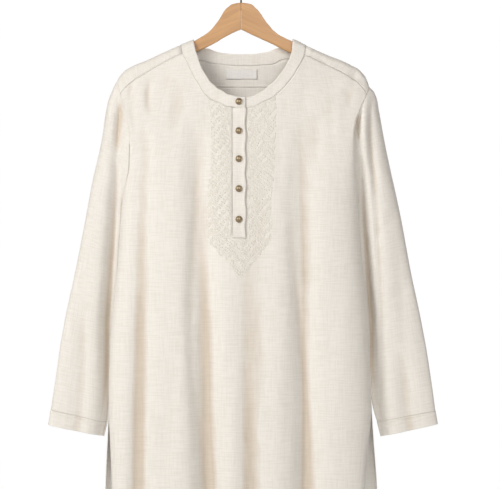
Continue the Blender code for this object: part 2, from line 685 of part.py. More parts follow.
# hanger halves
def hangerHalf(name, rows):
    mesh = bmesh.new()
    outline = [(x, top) for x, top, low in rows] + [(x, low) for x, top, low in reversed(rows)]
    verts = [mesh.verts.new((x * mm, -armThick / 2, z * mm)) for x, z in outline]
    face = mesh.faces.new(verts)
    made = bmesh.ops.extrude_face_region(mesh, geom=[face])
    moved = [item for item in made["geom"] if isinstance(item, bmesh.types.BMVert)]
    bmesh.ops.translate(mesh, verts=moved, vec=(0, armThick, 0))
    joint = rows[0][0] * mm
    rim = [edge for edge in mesh.edges
           if abs(edge.verts[0].co.y - edge.verts[1].co.y) < 1e-6
           and not all(abs(vert.co.x - joint) < 1e-6 for vert in edge.verts)]
    bmesh.ops.bevel(mesh, geom=rim, offset=2.3 * mm, offset_type="OFFSET", segments=2, profile=0.5,
                    affect="EDGES", clamp_overlap=True, material=-1)
    return addObject(name, mesh, "wood")


bore = bmesh.new()
bmesh.ops.create_cone(bore, cap_ends=True, segments=16, radius1=wireRadius + 0.35 * mm,
                      radius2=wireRadius + 0.35 * mm, depth=32 * mm)
bmesh.ops.translate(bore, verts=bore.verts, vec=(0, 0, -75 * mm))
cutter = addObject("bore_cutter", bore, "wood")
cutter.hide_render = True
cutter.display_type = "WIRE"
for name, rows in (("hanger_left", armLeftRows), ("hanger_right", armRightRows)):
    half = hangerHalf(name, rows)
    cut = half.modifiers.new("bore", "BOOLEAN")
    cut.operation = "DIFFERENCE"
    cut.solver = "EXACT"
    cut.object = cutter

# hook: open loop over a stem in the bore
spine = []
for i in range(17):
    angle = math.radians(198 - i * 238 / 16)
    spine.append(Vector((hookRadius * math.cos(angle), 0,
                         wireRadius - hookRadius + hookRadius * math.sin(angle))))
start = spine[-1]
bend = (start, start + Vector((-0.643, 0, -0.766)) * 12 * mm, Vector((0, 0, -46 * mm)), Vector((0, 0, -58 * mm)))
for t in (0.17, 0.34, 0.5, 0.67, 0.84, 1.0):
    u = 1 - t
    spine.append(bend[0] * u ** 3 + bend[1] * 3 * u * u * t + bend[2] * 3 * u * t * t + bend[3] * t ** 3)
spine += [Vector((0, 0, -72 * mm)), Vector((0, 0, -89 * mm))]
mesh = bmesh.new()
around = 8
ringsMade = []
for i, place in enumerate(spine):
    way = (spine[min(i + 1, len(spine) - 1)] - spine[max(i - 1, 0)]).normalized()
    across = Vector((0, 1, 0))
    upward = way.cross(across)
    ringsMade.append([mesh.verts.new(place + (across * math.cos(2 * math.pi * k / around)
                                              + upward * math.sin(2 * math.pi * k / around)) * wireRadius)
                      for k in range(around)])
for a, b in zip(ringsMade, ringsMade[1:]):
    for k in range(around):
        mesh.faces.new((a[k], a[(k + 1) % around], b[(k + 1) % around], b[k]))
mesh.faces.new(list(reversed(ringsMade[0])))
mesh.faces.new(ringsMade[-1])
addObject("hook", mesh, "steel")

# buttons
profile = [(0.0, 2.5), (3.4, 2.2), (4.6, 1.6), (5.4, 2.1), (6.1, 1.4), (6.1, 0.4), (0.0, 0.0)]
sides = 14
for number, (x, z) in enumerate(((-3.6, -251.2), (-3.9, -302.2), (-3.5, -351.5), (-3.5, -403.5),
                                 (-3.6, -457.0))):
    x, z = x * mm, z * mm
    here = bodyPoint(-1, shareOf(-1, x, z), z)
    upper = bodyPoint(-1, shareOf(-1, x, z), z + 5 * mm)
    along = (upper - here).normalized()
    out = along.cross(Vector((1, 0, 0))).normalized()
    if out.y > 0:
        out = -out
    base = here + out * (3.85 if number == 0 else 2.95) * mm
    mesh = bmesh.new()
    loops = []
    for radius, height in profile:
        if radius == 0:
            loops.append([mesh.verts.new(base + out * height * mm)])
            continue
        loops.append([mesh.verts.new(base + out * height * mm
                                     + (Vector((1, 0, 0)) * math.cos(2 * math.pi * k / sides)
                                        + along * math.sin(2 * math.pi * k / sides)) * radius * mm)
                      for k in range(sides)])
    for a, b in zip(loops, loops[1:]):
        for k in range(sides):
            ring = [a[k % len(a)], a[(k + 1) % len(a)], b[(k + 1) % len(b)], b[k % len(b)]]
            mesh.faces.new(list(dict.fromkeys(ring)))
    addObject(f"button_{number + 1}", mesh, "brass")
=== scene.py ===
import math

import bmesh
import bpy
from mathutils import Matrix, Vector, noise


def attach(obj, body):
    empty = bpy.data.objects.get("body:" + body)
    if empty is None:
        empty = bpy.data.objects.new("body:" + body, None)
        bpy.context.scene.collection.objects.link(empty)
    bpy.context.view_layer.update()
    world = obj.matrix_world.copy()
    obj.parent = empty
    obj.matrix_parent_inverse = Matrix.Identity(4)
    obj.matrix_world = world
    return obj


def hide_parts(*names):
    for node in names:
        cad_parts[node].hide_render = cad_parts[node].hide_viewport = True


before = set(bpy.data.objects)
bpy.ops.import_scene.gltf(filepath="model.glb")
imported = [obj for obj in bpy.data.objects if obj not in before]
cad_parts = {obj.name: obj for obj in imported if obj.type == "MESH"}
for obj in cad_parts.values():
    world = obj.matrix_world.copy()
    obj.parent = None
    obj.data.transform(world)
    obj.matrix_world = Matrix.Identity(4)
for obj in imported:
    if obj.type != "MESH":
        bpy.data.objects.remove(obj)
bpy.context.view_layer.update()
mm = 0.001

# camera, backdrop, floor and light
view = {"x": 0.01575, "z": -0.5011, "distance": 4.0, "plane": -0.03, "width": 0.875,
        "floor": -1.5, "backdrop": 6.6, "backdropGlow": 1.0}
light = {"key": 83, "keySize": 1.5, "keyPlace": (-2.35, -2.45, 0.9), "fill": 43, "fillSize": 1.5,
         "fillPlace": (0.8, -3.4, 0.6), "world": 0.2, "back": 60}

camera = bpy.data.objects.new("camera", bpy.data.cameras.new("camera"))
bpy.context.scene.collection.objects.link(camera)
camera.location = (view["x"], -view["distance"], view["z"])
camera.rotation_euler = (math.pi / 2, 0, 0)
camera.data.sensor_width = 36
camera.data.lens = 36 * (view["distance"] + view["plane"]) / view["width"]
bpy.context.scene.camera = camera
bpy.context.scene.view_settings.view_transform = "Standard"


def areaLight(name, place, target, size, power, colour=(1, 1, 1)):
    lamp = bpy.data.lights.new(name, "AREA")
    lamp.size = size
    lamp.energy = power
    lamp.color = colour
    made = bpy.data.objects.new(name, lamp)
    bpy.context.scene.collection.objects.link(made)
    made.location = place
    made.rotation_euler = (Vector(target) - Vector(place)).to_track_quat("-Z", "Y").to_euler()


areaLight("key", light["keyPlace"], (0, 0, -0.5), light["keySize"], light["key"], (1, 0.985, 0.96))
areaLight("fill", light["fillPlace"], (0, 0, -0.5), light["fillSize"], light["fill"])
areaLight("back", (0.9, 3.4, 0.7), (0, 0, -0.5), 2.4, light["back"])
world = bpy.data.worlds.new("room")
world.use_nodes = True
world.node_tree.nodes["Background"].inputs["Color"].default_value = (1, 0.93, 0.84, 1)
world.node_tree.nodes["Background"].inputs["Strength"].default_value = light["world"]
bpy.context.scene.world = world
print("light and camera set")


# node maths: a Socket stands for a value in a material and can be added, multiplied and so on
class Socket:
    def __init__(self, tree, link):
        self.tree = tree
        self.link = link

    def join(self, operation, first, second=0.0):
        return addNode(self.tree, "ShaderNodeMath", {"operation": operation}, {0: first, 1: second})

    def __add__(self, other):
        return self.join("ADD", self, other)

    def __mul__(self, other):
        return self.join("MULTIPLY", self, other)

    __radd__ = __add__
    __rmul__ = __mul__

    def wave(self):
        return self.join("SINE", self)


def addNode(tree, kind, settings=None, sockets=None, output=0):
    node = tree.nodes.new(kind)
    for key, value in (settings or {}).items():
        if key == "stops":
            ramp = node.color_ramp
            while len(ramp.elements) < len(value):
                ramp.elements.new(0.5)
            for stop, (place, colour) in zip(ramp.elements, value):
                stop.position = place
                stop.color = (*colour, 1)
        else:
            setattr(node, key, value)
    for key, value in (sockets or {}).items():
        if isinstance(value, Socket):
            tree.links.new(value.link, node.inputs[key])
        else:
            node.inputs[key].default_value = value
    return Socket(tree, node.outputs[output])


def newMaterial(name, **plain):
    made = bpy.data.materials.new(name)
    made.use_nodes = True
    shader = made.node_tree.nodes["Principled BSDF"]
    for key, value in plain.items():
        shader.inputs[key.replace("_", " ")].default_value = value
    return made, made.node_tree, shader


def mixColour(tree, factor, first, second, blend="MIX"):
    return addNode(tree, "ShaderNodeMix", {"data_type": "RGBA", "blend_type": blend},
                   {0: factor, 6: first, 7: second}, 2)


def noiseOf(tree, vector, scale, detail, **more):
    return addNode(tree, "ShaderNodeTexNoise", {}, {"Vector": vector, "Scale": scale, "Detail": detail, **more})


def grainOf(tree, vector, stretch, detail=2.0, **more):  # noise drawn out along one way
    return noiseOf(tree, addNode(tree, "ShaderNodeMapping", {}, {"Vector": vector, "Scale": stretch}), 1.0, detail,
                   **more)


def rampOf(tree, value, low, high):
    return addNode(tree, "ShaderNodeValToRGB", {"stops": ((low, (0, 0, 0)), (high, (1, 1, 1)))}, {0: value})


def feed(tree, shader, height, distance, strength=1.0, **inputs):  # the shader's links, with a bump
    bump = addNode(tree, "ShaderNodeBump", {}, {"Height": height, "Distance": distance, "Strength": strength})
    for key, value in {**inputs, "Normal": bump}.items():
        tree.links.new(value.link, shader.inputs[key.replace("_", " ")])


# the cloth's colours and weave; the fold entries set the painted shade in fold troughs: how far out a point's fold
# depth is sampled, the depth at which that shade is full, and the darker, warmer colour multiplied in there
clothLook = {"shadeSampleReach": 15 * mm, "shadeFullDepth": 4.8 * mm, "paintedFoldShade": (0.80, 0.73, 0.655, 1),
             "base": (0.80, 0.766, 0.716, 1), "fleck": (0.66, 0.61, 0.54, 1), "pale": (0.86, 0.835, 0.79, 1),
             "thread": 0.00062, "weaveDepth": 0.00010, "slubDepth": 0.00022, "sheen": 0.12, "streak": 0.36}


def clothMaterial(name, tint=(1, 1, 1, 1), weave=1.0):
    look = clothLook
    made, tree, shader = newMaterial(name, Roughness=0.92, Sheen_Weight=look["sheen"], Sheen_Roughness=0.5,
                                     Specular_IOR_Level=0.2)
    uv = addNode(tree, "ShaderNodeUVMap", {"uv_map": "cloth"})
    across, up = [addNode(tree, "ShaderNodeSeparateXYZ", {}, {0: uv}, i) * (math.pi / look["thread"]) for i in (0, 1)]
    plain = across.wave() * up.wave() * 0.5 + 0.5
    weft, warp = grainOf(tree, uv, (70, 1500, 1)), grainOf(tree, uv, (1500, 60, 1))
    streak = grainOf(tree, uv, (30, 430, 1)) * 0.55 + grainOf(tree, uv, (430, 24, 1)) * 0.45
    flecks = rampOf(tree, weft * 0.62 + warp * 0.38, 0.56, 0.74)
    palest = rampOf(tree, warp * 0.5 + noiseOf(tree, uv, 160.0, 4.0) * 0.5, 0.5, 0.72)
    colour = mixColour(tree, flecks * 0.55, look["base"], look["fleck"])
    colour = mixColour(tree, palest * 0.5, colour, look["pale"])
    colour = mixColour(tree, rampOf(tree, streak, 0.44, 0.6) * look["streak"], colour, look["fleck"])
    colour = mixColour(tree, 1.0, colour, tint, "MULTIPLY")
    # painted shade: the cloth's colour is multiplied darker and warmer in fold troughs, in step with the per-point
    # fold depth
    hollow = addNode(tree, "ShaderNodeAttribute", {"attribute_name": "hollow"}, {}, 2)
    depth = addNode(tree, "ShaderNodeClamp", {}, {0: hollow * (1 / look["shadeFullDepth"])})
    colour = mixColour(tree, depth, colour, look["paintedFoldShade"], "MULTIPLY")
    height = plain * (look["weaveDepth"] * weave) + (weft + warp) * look["slubDepth"]
    feed(tree, shader, height * 1000, 0.001, Base_Color=colour)
    return made


clothPlain = clothMaterial("oatmeal_cloth")
clothTrim = clothMaterial("oatmeal_trim", (1.0, 1.0, 1.0, 1), 0.9)

woodLook = {"light": (0.57, 0.315, 0.135, 1), "dark": (0.42, 0.215, 0.088, 1), "pore": (0.25, 0.12, 0.05, 1)}


def objectSpot(tree):
    return addNode(tree, "ShaderNodeTexCoord", {}, {}, 3)


def woodMaterial(name, slope, shift):
    made, tree, shader = newMaterial(name, Roughness=0.45, Coat_Weight=0.12, Coat_Roughness=0.35)
    board = addNode(tree, "ShaderNodeMapping", {}, {"Vector": objectSpot(tree), "Rotation": (0, slope, 0),
                                                    "Location": (shift, shift * 0.3, 0)})
    figure = grainOf(tree, board, (9, 150, 150), 3.0, Distortion=0.6)
    pores = grainOf(tree, board, (45, 900, 900))
    dots = rampOf(tree, pores, 0.62, 0.76)
    colour = mixColour(tree, rampOf(tree, figure, 0.35, 0.65) * 0.55, woodLook["light"], woodLook["dark"])
    colour = mixColour(tree, dots * 0.4, colour, woodLook["pore"])
    feed(tree, shader, pores, 0.00012, 0.6, Base_Color=colour, Roughness=0.38 + dots * 0.2)
    return made


def metalMaterial(name, bright, dull, rough):
    made, tree, shader = newMaterial(name, Metallic=1.0, Roughness=rough)
    patch = noiseOf(tree, objectSpot(tree), 900.0, 3.0)
    feed(tree, shader, patch, 0.00008, 0.5, Base_Color=mixColour(tree, patch, bright, dull),
         Roughness=patch * 0.25 + (rough - 0.1))
    return made


def threadMaterial(name, colour):
    made, tree, shader = newMaterial(name, Roughness=0.7, Sheen_Weight=0.2)
    darker = tuple(value * 0.86 for value in colour[:3]) + (1,)
    patch = mixColour(tree, noiseOf(tree, objectSpot(tree), 2500.0, 1.0), colour, darker)
    tree.links.new(patch.link, shader.inputs["Base Color"])
    return made


sewingThread = threadMaterial("sewing_thread", (0.80, 0.76, 0.69, 1))
broiderThread = threadMaterial("embroidery_thread", (0.86, 0.825, 0.755, 1))
labelTape = clothMaterial("label_tape", (1.0, 1.02, 1.06, 1), 0.6)
buttonBrass = metalMaterial("button_brass", (0.42, 0.33, 0.215, 1), (0.18, 0.135, 0.085, 1), 0.36)
hookMetal = metalMaterial("dark_metal", (0.16, 0.15, 0.14, 1), (0.09, 0.085, 0.08, 1), 0.34)
print("materials made")

# outline tables, in mm
ridgeRows = [
    (-217, -211), (-211, -202), (-197, -190.5), (-170.5, -179), (-143.7, -166.5), (-103.6, -148.6),
    (-84.9, -141), (-60, -133), (-30, -125.5), (0, -122.5), (30, -124), (60, -130), (91, -139.2),
    (113.8, -150.3), (154, -168.6), (195.7, -186.7), (214.4, -200.5), (222.3, -214), (225.5, -224)]
sideRows = [  # z, left, right
    (-777, -232.8, 229.3), (-711.7, -231.5, 226.3), (-626.3, -226, 222), (-510.8, -215, 212), (-454.1, -211.6, 208),
    (-428.5, -209.1, 206.5), (-397, -203, 203), (-354.3, -195.5, 198.2), (-312.7, -194.8, 196.8),
    (-288.5, -197.5, 199), (-268.4, -202.6, 206), (-251, -207.3, 214), (-238, -211, 220), (-223, -214.7, 225.5),
    (-210, -216.8, 228)]
slitRows = {  # the same below the slits' tops, for the front and the back
    -1: [(-945, -226.3, 216.8), (-929, -226.6, 217.5), (-850, -230, 223.5)],
    1: [(-945, -240.3, 240.5), (-929, -239.8, 239.8), (-850, -236, 234)]}
depthRows = [  # z, front depth, back depth
    (-945, 38, 27), (-800, 37, 26), (-600, 36, 25), (-430, 35, 24), (-300, 36, 25), (-200, 36, 26),
    (-120, 36, 26)]
neckRows = [  # side (-1 front, 0 top, 1 back), inner x, inner z, seam x, seam z
    (-1, 7.9, -243.3, 7.9, -261.8), (-1, -4, -242.3, -4, -261.6), (-1, -14.7, -240.2, -14.7, -260.4),
    (-1, -31.7, -232.5, -38, -252.5), (-1, -47.4, -221.7, -58, -241.5), (-1, -59.9, -206.1, -74, -219.5),
    (-1, -70.9, -185.8, -88, -194.5), (-1, -77.5, -166, -98, -173), (-1, -80.5, -157, -102.2, -164.5),
    (0, -83.3, 0, -104.5, 0), (1, -74, -150, -95, -166), (1, -56.7, -155, -66, -176),
    (1, -30, -162.5, -33, -182), (1, 2.6, -164.3, 3, -184.5), (1, 35, -162, 38, -183),
    (1, 60, -155, 72, -174.5), (1, 80, -148, 101, -164), (0, 91, 0, 114, 0),
    (-1, 89.6, -155, 112, -166), (-1, 87, -168, 108, -176), (-1, 80.5, -182.6, 98.5, -193),
    (-1, 64.8, -206.3, 82, -217), (-1, 49, -222, 62.5, -237), (-1, 30.8, -235.8, 40, -250.5),
    (-1, 12.3, -242.6, 16, -260), (-1, 6, -243.3, 6, -261.5), (-1, -4, -242.3, -4, -261.6),
    (-1, -12.5, -240.6, -12.5, -260.6)]
# folds: top z, low z, x at the top, x at the low end, half width, depth (a minus depth stands out)
frontFolds = [
    (-262, -935, -172, -181, 13, 14), (-250, -935, -80, -55, 16, 21), (-540, -935, 10, 14, 12, 6),
    (-250, -935, 106, 115, 16, 20), (-430, -935, 203, 200, 10, 1.2), (-262, -935, -112, -106, 20, -5),
    (-300, -935, -20, -20, 20, -4), (-330, -935, 66, 68, 20, -4), (-262, -935, 192, 192, 20, -1.5)]
backFolds = [
    (-262, -935, -165, -176, 22, 9), (-250, -935, -84, -96, 20, 11), (-240, -935, 84, 72, 20, 12),
    (-262, -935, 160, 176, 22, 8), (-221, -780, 0, 0, 11, -4.5), (-300, -935, -40, -34, 20, -4),
    (-280, -935, 120, 126, 22, -5)]
# short creases: x, z at each end, half width, depth
frontCreases = [
    (-161, -206, -163, -272, 3.6, 2.4), (-193, -213, -196, -250, 3.2, 2.6), (-196, -244, -191, -318, 5, 3.4),
    (-176, -214, -177, -262, 4.5, -1.6), (-133, -200, -137, -262, 5, 1.3), (-118, -205, -112, -330, 7, 1.5),
    (-152, -280, -150, -420, 8, -1.6), (192, -216, 207, -190, 4, 3.2), (184, -224, 194, -262, 6, 2.6),
    (170, -250, 176, -330, 7, -1.6), (142, -186, 154, -172, 2.6, 1.7), (149, -190, 160, -177, 2.6, -1.3),
    (133, -182, 143, -170, 3, 1.2), (128, -262, 138, -400, 8, 1.8), (66, -300, 74, -470, 7, 1.2),
    (-58, -560, -50, -760, 8, 1.3), (34, -560, 40, -800, 8, 1.4), (150, -560, 146, -860, 9, 2.0),
    (-118, -640, -122, -900, 9, 1.7), (-205, -520, -212, -760, 6, 2.2), (76, -700, 84, -930, 7, 1.8),
    (-24, -640, -20, -930, 7, 1.6), (-86, -330, -70, -938, 6, 2.6), (98, -330, 106, -938, 6, 2.4)]
backCreases = [
    (-1, -224, -1, -470, 2.6, 1.4), (-150, -262, -140, -360, 7, 2), (148, -262, 136, -380, 7, 2.2),
    (-60, -420, -48, -700, 9, 2.2), (52, -380, 40, -660, 9, 1.8), (-190, -300, -176, -420, 8, 2.4),
    (186, -290, 172, -400, 8, 2.4), (-120, -600, -128, -900, 9, 2.2), (112, -640, 122, -910, 9, 1.8)]
turned = {"hem": -924.8 * mm, "slit": 8 * mm, "step": 0.5 * mm}  # turned-up edges
shape = {"ridge": 8.5 * mm, "reach": 90 * mm, "half": 210 * mm, "underarm": -428.5 * mm, "slit": -777 * mm,
         "hem": -945 * mm, "armTop": -262 * mm, "corner": -237 * mm, "seamLeft": -211.4 * mm,
         "seamRight": 220.6 * mm, "slotLow": -487 * mm, "slotLeft": -12.8 * mm, "slotRight": 6 * mm,
         "round": 9.0, "gap": 0.3 * mm, "cloth": 1.2 * mm, "band": 2.0 * mm, "strip": 1.1 * mm}


def smoothCurve(rows, column, scale=mm):
    keys = [row[0] * scale for row in rows]
    values = [row[column] * mm for row in rows]
    if keys[0] > keys[-1]:
        keys.reverse()
        values.reverse()
    steps = [(values[i + 1] - values[i]) / (keys[i + 1] - keys[i]) for i in range(len(keys) - 1)]
    slopes = [steps[0]]
    for before, after in zip(steps, steps[1:]):
        slopes.append(2 * before * after / (before + after) if before * after > 0 else 0.0)
    slopes.append(steps[-1])

    def at(key):
        if key <= keys[0]:
            return values[0] + (key - keys[0]) * slopes[0]
        if key >= keys[-1]:
            return values[-1] + (key - keys[-1]) * slopes[-1]
        i = 0
        while keys[i + 1] < key:
            i += 1
        span = keys[i + 1] - keys[i]
        t = (key - keys[i]) / span
        near = values[i] + span * slopes[i] * t
        far = values[i + 1] - span * slopes[i + 1] * (1 - t)
        ease = t * t * (3 - 2 * t)
        return near * (1 - ease) + far * ease
    return at


ridgeAt = smoothCurve(ridgeRows, 1)
sideAt = {(side, way): smoothCurve(slitRows[side] + sideRows, 1 if way < 0 else 2)
          for side in (-1, 1) for way in (-1, 1)}
depthAt = {-1: smoothCurve(depthRows, 1), 1: smoothCurve(depthRows, 2)}


def foldSum(rows, x, z):
    total = 0.0
    for topZ, lowZ, topX, lowX, width, depth in rows:
        run = (topZ * mm - z) / ((topZ - lowZ) * mm)
        if run > 0:
            run = min(run, 1.0)
            middle = (topX + (lowX - topX) * run) * mm
            total += depth * mm * run ** 0.6 * min(1.0, run * 9) * math.exp(-((x - middle) / (width * mm)) ** 2 / 2)
    return total


def creaseSum(rows, x, z):
    total = 0.0
    for x0, z0, x1, z1, width, depth in rows:
        runX, runZ = (x1 - x0) * mm, (z1 - z0) * mm
        length = math.hypot(runX, runZ)
        along = ((x - x0 * mm) * runX + (z - z0 * mm) * runZ) / length
        if not 0 < along < length:
            continue
        off = ((x - x0 * mm) * runZ - (z - z0 * mm) * runX) / length
        off += 0.02 * length * math.sin(5 * along / length + x0)
        total += depth * mm * math.sin(math.pi * along / length) ** 0.8 * math.exp(-(off / (width * mm)) ** 2 / 2)
    return total


def smoothStep(value):
    value = max(0.0, min(1.0, value))
    return value * value * (3 - 2 * value)


def bodyOut(side, z, drop):
    radius = shape["ridge"]
    out = math.sqrt(max(0.0, radius ** 2 - (radius - drop) ** 2)) if drop < radius else radius
    return out + (depthAt[side](z) - radius) * (1 - math.exp(-drop / shape["reach"]))


def openShare(z):
    if z > shape["armTop"]:
        return 1.0
    if z > shape["underarm"]:
        return 1 - (1 - (z - shape["underarm"]) / (shape["armTop"] - shape["underarm"])) ** 2
    if z < shape["slit"]:
        return 0.45 * ((shape["slit"] - z) / (shape["slit"] - shape["hem"])) ** 0.9
    return 0.0


def halfWidth(side, way, z):
    return abs(sideAt[side, way](min(z, shape["corner"])))


def shareOf(side, x, z):
    grow = halfWidth(side, -1 if x < 0 else 1, z) - shape["half"]
    if abs(grow) < 1e-7:
        return x / shape["half"]
    root = math.sqrt(shape["half"] ** 2 + 4 * grow * abs(x))
    return math.copysign((root - shape["half"]) / (2 * grow), x)


def crumple(x, z, seed):
    fine = noise.noise(Vector((x * 42, z * 30, seed)))
    finer = noise.noise(Vector((x * 105, z * 80, seed + 7)))
    return fine * 0.7 * mm + finer * 0.28 * mm


def bodyPoint(side, share, z):
    wide = halfWidth(side, -1 if share < 0 else 1, z)
    x = share * (shape["half"] + (wide - shape["half"]) * abs(share))
    out = bodyOut(side, z, max(0.0, ridgeAt(x) - z))
    open_ = openShare(z)
    out *= open_ + (1 - open_) * math.sqrt(max(0.0, 1 - abs(share) ** shape["round"]))
    inside = 1 - abs(share) ** 8
    out -= foldSum(frontFolds if side < 0 else backFolds, x, z) * inside
    out -= creaseSum(frontCreases if side < 0 else backCreases, x, z) * min(1.0, 6 * (1 - abs(share)))
    slit = smoothStep((shape["slit"] - z) / (3 * mm))
    slit *= smoothStep((turned["slit"] - wide + abs(x)) / (1.5 * mm) + 0.5)
    out += turned["step"] * max(slit, smoothStep((turned["hem"] - z) / (1.5 * mm) + 0.5))
    out += crumple(x, z, 3.1 * side) * inside * min(1.0, max(0.0, (ridgeAt(x) - z) / (60 * mm)))
    return Vector((x, side * (out + shape["gap"] / 2), z))


def onBody(side, x, z, rise=0.0):  # a point of a panel, moved out by a rise, and the normal there
    step = 1.5 * mm
    here = bodyPoint(side, shareOf(side, x, z), z)
    right = bodyPoint(side, shareOf(side, x + step, z), z)
    above = bodyPoint(side, shareOf(side, x, z + step), z + step)
    normal = (right - here).cross(above - here).normalized() * -side
    return here + normal * rise, normal


def topPoint(x, along):
    side = -1 if along < 0 else 1
    radius = shape["ridge"]
    quarter = radius * math.pi / 2
    reach = abs(along)
    drop = radius * (1 - math.cos(along / radius)) if reach < quarter else radius + reach - quarter
    z = ridgeAt(x) - drop
    flat = bodyOut(side, z, drop)
    return Vector((x, side * (flat + shape["gap"] / 2 * min(1.0, reach / quarter)), z))


def alongOf(side, x, z):
    if side == 0:
        return 0.0
    radius = shape["ridge"]
    drop = ridgeAt(x) - z
    if drop < radius:
        return side * radius * math.acos(max(-1.0, min(1.0, 1 - drop / radius)))
    return side * (drop - radius + radius * math.pi / 2)


band = [(ix, alongOf(side, ix * mm, iz * mm) / mm, sx, alongOf(side, sx * mm, sz * mm) / mm)
        for side, ix, iz, sx, sz in neckRows]
neckKeys = [0.0]
for a, b in zip(band, band[1:]):
    neckKeys.append(neckKeys[-1] + math.hypot(b[2] - a[2], b[3] - a[3]))
bandAt = [smoothCurve([(key, row[i]) for key, row in zip(neckKeys, band)], 1, 1.0) for i in range(4)]


def seamPoint(key):
    return bandAt[2](key), bandAt[3](key)


def frontSeam(way, step):  # yoke front seam, 0 at the neck to 1 at the armhole
    startX, startAlong = seamPoint(neckKeys[8] if way < 0 else neckKeys[18])
    endX = shape["seamLeft"] if way < 0 else shape["seamRight"]
    endAlong = alongOf(-1, endX, shape["corner"])
    return startX + (endX - startX) * step, startAlong + (endAlong - startAlong) * step ** 2.2


def backSeam(x):  # back yoke seam height
    over = max(0.0, (abs(x) - 60 * mm) / (sideAt[1, 1](shape["armTop"]) - 60 * mm))
    return (-221 - 41 * min(1.0, over) ** 1.6) * mm


def spread(value, stops):  # value 0..1 over unequal stretches: [(steps of the grid, start, end)]
    value *= sum(steps for steps, _, _ in stops)
    for steps, start, end in stops:
        if value <= steps + 1e-6:
            return start + (end - start) * value / steps
        value -= steps
    return stops[-1][2]


def showPiece(name, mesh, material, nodes):
    data = bpy.data.meshes.new(name)
    mesh.to_mesh(data)
    mesh.free()
    for polygon in data.polygons:
        polygon.use_smooth = True
    data.materials.append(material)
    made = bpy.data.objects.new(name, data)
    bpy.context.scene.collection.objects.link(made)
    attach(made, "root")
    if nodes:
        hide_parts(*nodes)
    return made


def solidPiece(name, mesh, material, nodes):
    bmesh.ops.recalc_face_normals(mesh, faces=mesh.faces)
    return showPiece(name, mesh, material, nodes)


def clothGrid(name, columns, rows, place, material, nodes, thick, outward, wrap=False, cut=None,
              unroll=None):
    mesh = bmesh.new()
    bmesh.ops.create_grid(mesh, x_segments=columns, y_segments=rows, size=0.5)
    if cut:
        holes = [face for face in mesh.faces if cut(face.calc_center_median().x + 0.5,
                                                    face.calc_center_median().y + 0.5)]
        bmesh.ops.delete(mesh, geom=holes, context="FACES")
    layer = mesh.loops.layers.uv.new("cloth")
    hollow = mesh.verts.layers.float.new("hollow")  # how deep a point lies in a fold, in metres; the cloth material paints shade from it
    spot = {(round((vert.co.x + 0.5) * columns), round((vert.co.y + 0.5) * rows)): vert for vert in mesh.verts}
    station = {vert: key for key, vert in spot.items()}
    where = {(i, j): place(i / columns, j / rows) for i in range(columns + 1) for j in range(rows + 1)}
    for key, vert in spot.items():
        vert.co = where[key]
    flat = {}
    for j in range(rows + 1):  # lengths along each row, out from the middle column
        for way in (-1, 1):
            i, length = columns // 2, 0.0
            while 0 <= i <= columns:
                length += (where[i, j] - where[i - way, j]).length if i != columns // 2 else 0.0
                flat[i, j] = [way * length, 0.0]
                i += way
    for i in range(columns + 1):
        length = 0.0
        for j in range(1, rows + 1):
            length += (where[i, j] - where[i, j - 1]).length
            flat[i, j][1] = length
    if unroll:
        flat = {(i, j): unroll(i / columns, j / rows) for i, j in flat}
    for face in mesh.faces:
        for loop in face.loops:
            loop[layer].uv = flat[station[loop.vert]]
    wide = sum((where[i, rows // 2] - where[i - 1, rows // 2]).length for i in range(1, columns + 1))
    reach = round(clothLook["shadeSampleReach"] * columns / wide)
    if wrap:
        bmesh.ops.remove_doubles(mesh, verts=mesh.verts, dist=1e-6)
    mesh.normal_update()
    middle = sorted(mesh.faces, key=lambda face: (face.calc_center_median() - outward[0]).length)[0]
    if middle.normal.dot(outward[1]) < 0:
        bmesh.ops.reverse_faces(mesh, faces=mesh.faces)
        mesh.normal_update()
    # each point's depth below the middle of its neighbours to either side, which drives the painted shade in fold
    # troughs
    for (i, j), vert in spot.items():
        ends = [where.get(((i + n) % columns if wrap else i + n, j)) for n in (-reach, reach)]
        if vert.is_valid and all(ends):
            vert[hollow] = ((ends[0] + ends[1]) / 2 - vert.co).dot(vert.normal)
    made = showPiece(name, mesh, material, nodes)
    wall = made.modifiers.new("wall", "SOLIDIFY")
    wall.thickness = thick
    wall.offset = 0
    wall.use_even_offset = False


forward = Vector((0, -1, 0))
backward = Vector((0, 1, 0))

def easeOut(step):
    return 1 - (1 - step) ** 1.9


def lifted(level, top, corner):  # levels above the underarm, drawn up to a slanted top edge
    low = shape["underarm"]
    return level if level <= low else low + (level - low) * (top - low) / (corner - low)


def panelPlace(side, lineAt, stops, corner):  # lineAt gives x and along of the top edge
    def place(a, b):
        x, along = lineAt(a)
        edge = a < 1e-6 or a > 1 - 1e-6
        top = topPoint(x, along).z - shape["gap"]
        level = spread(b, stops)
        share = math.copysign(1.0, x) if edge else shareOf(side, x, top)
        return bodyPoint(side, share, level if edge else lifted(level, top, corner))
    return place


# front panel
frontGrid = {"shoulder": 36, "neck": 34, "slot": 5, "arm": 58, "chest": 18, "side": 66, "hem": 40}
frontCols = [("left", frontGrid["shoulder"]), ("neckLeft", frontGrid["neck"]), ("slot", frontGrid["slot"]),
             ("neckRight", frontGrid["neck"]), ("right", frontGrid["shoulder"])]
frontRows = [(frontGrid["hem"], shape["hem"], shape["slit"]), (frontGrid["side"], shape["slit"], shape["slotLow"]),
             (frontGrid["chest"], shape["slotLow"], shape["underarm"]),
             (frontGrid["arm"], shape["underarm"], shape["corner"])]
colCount = sum(count for _, count in frontCols)
rowCount = sum(row[0] for row in frontRows)


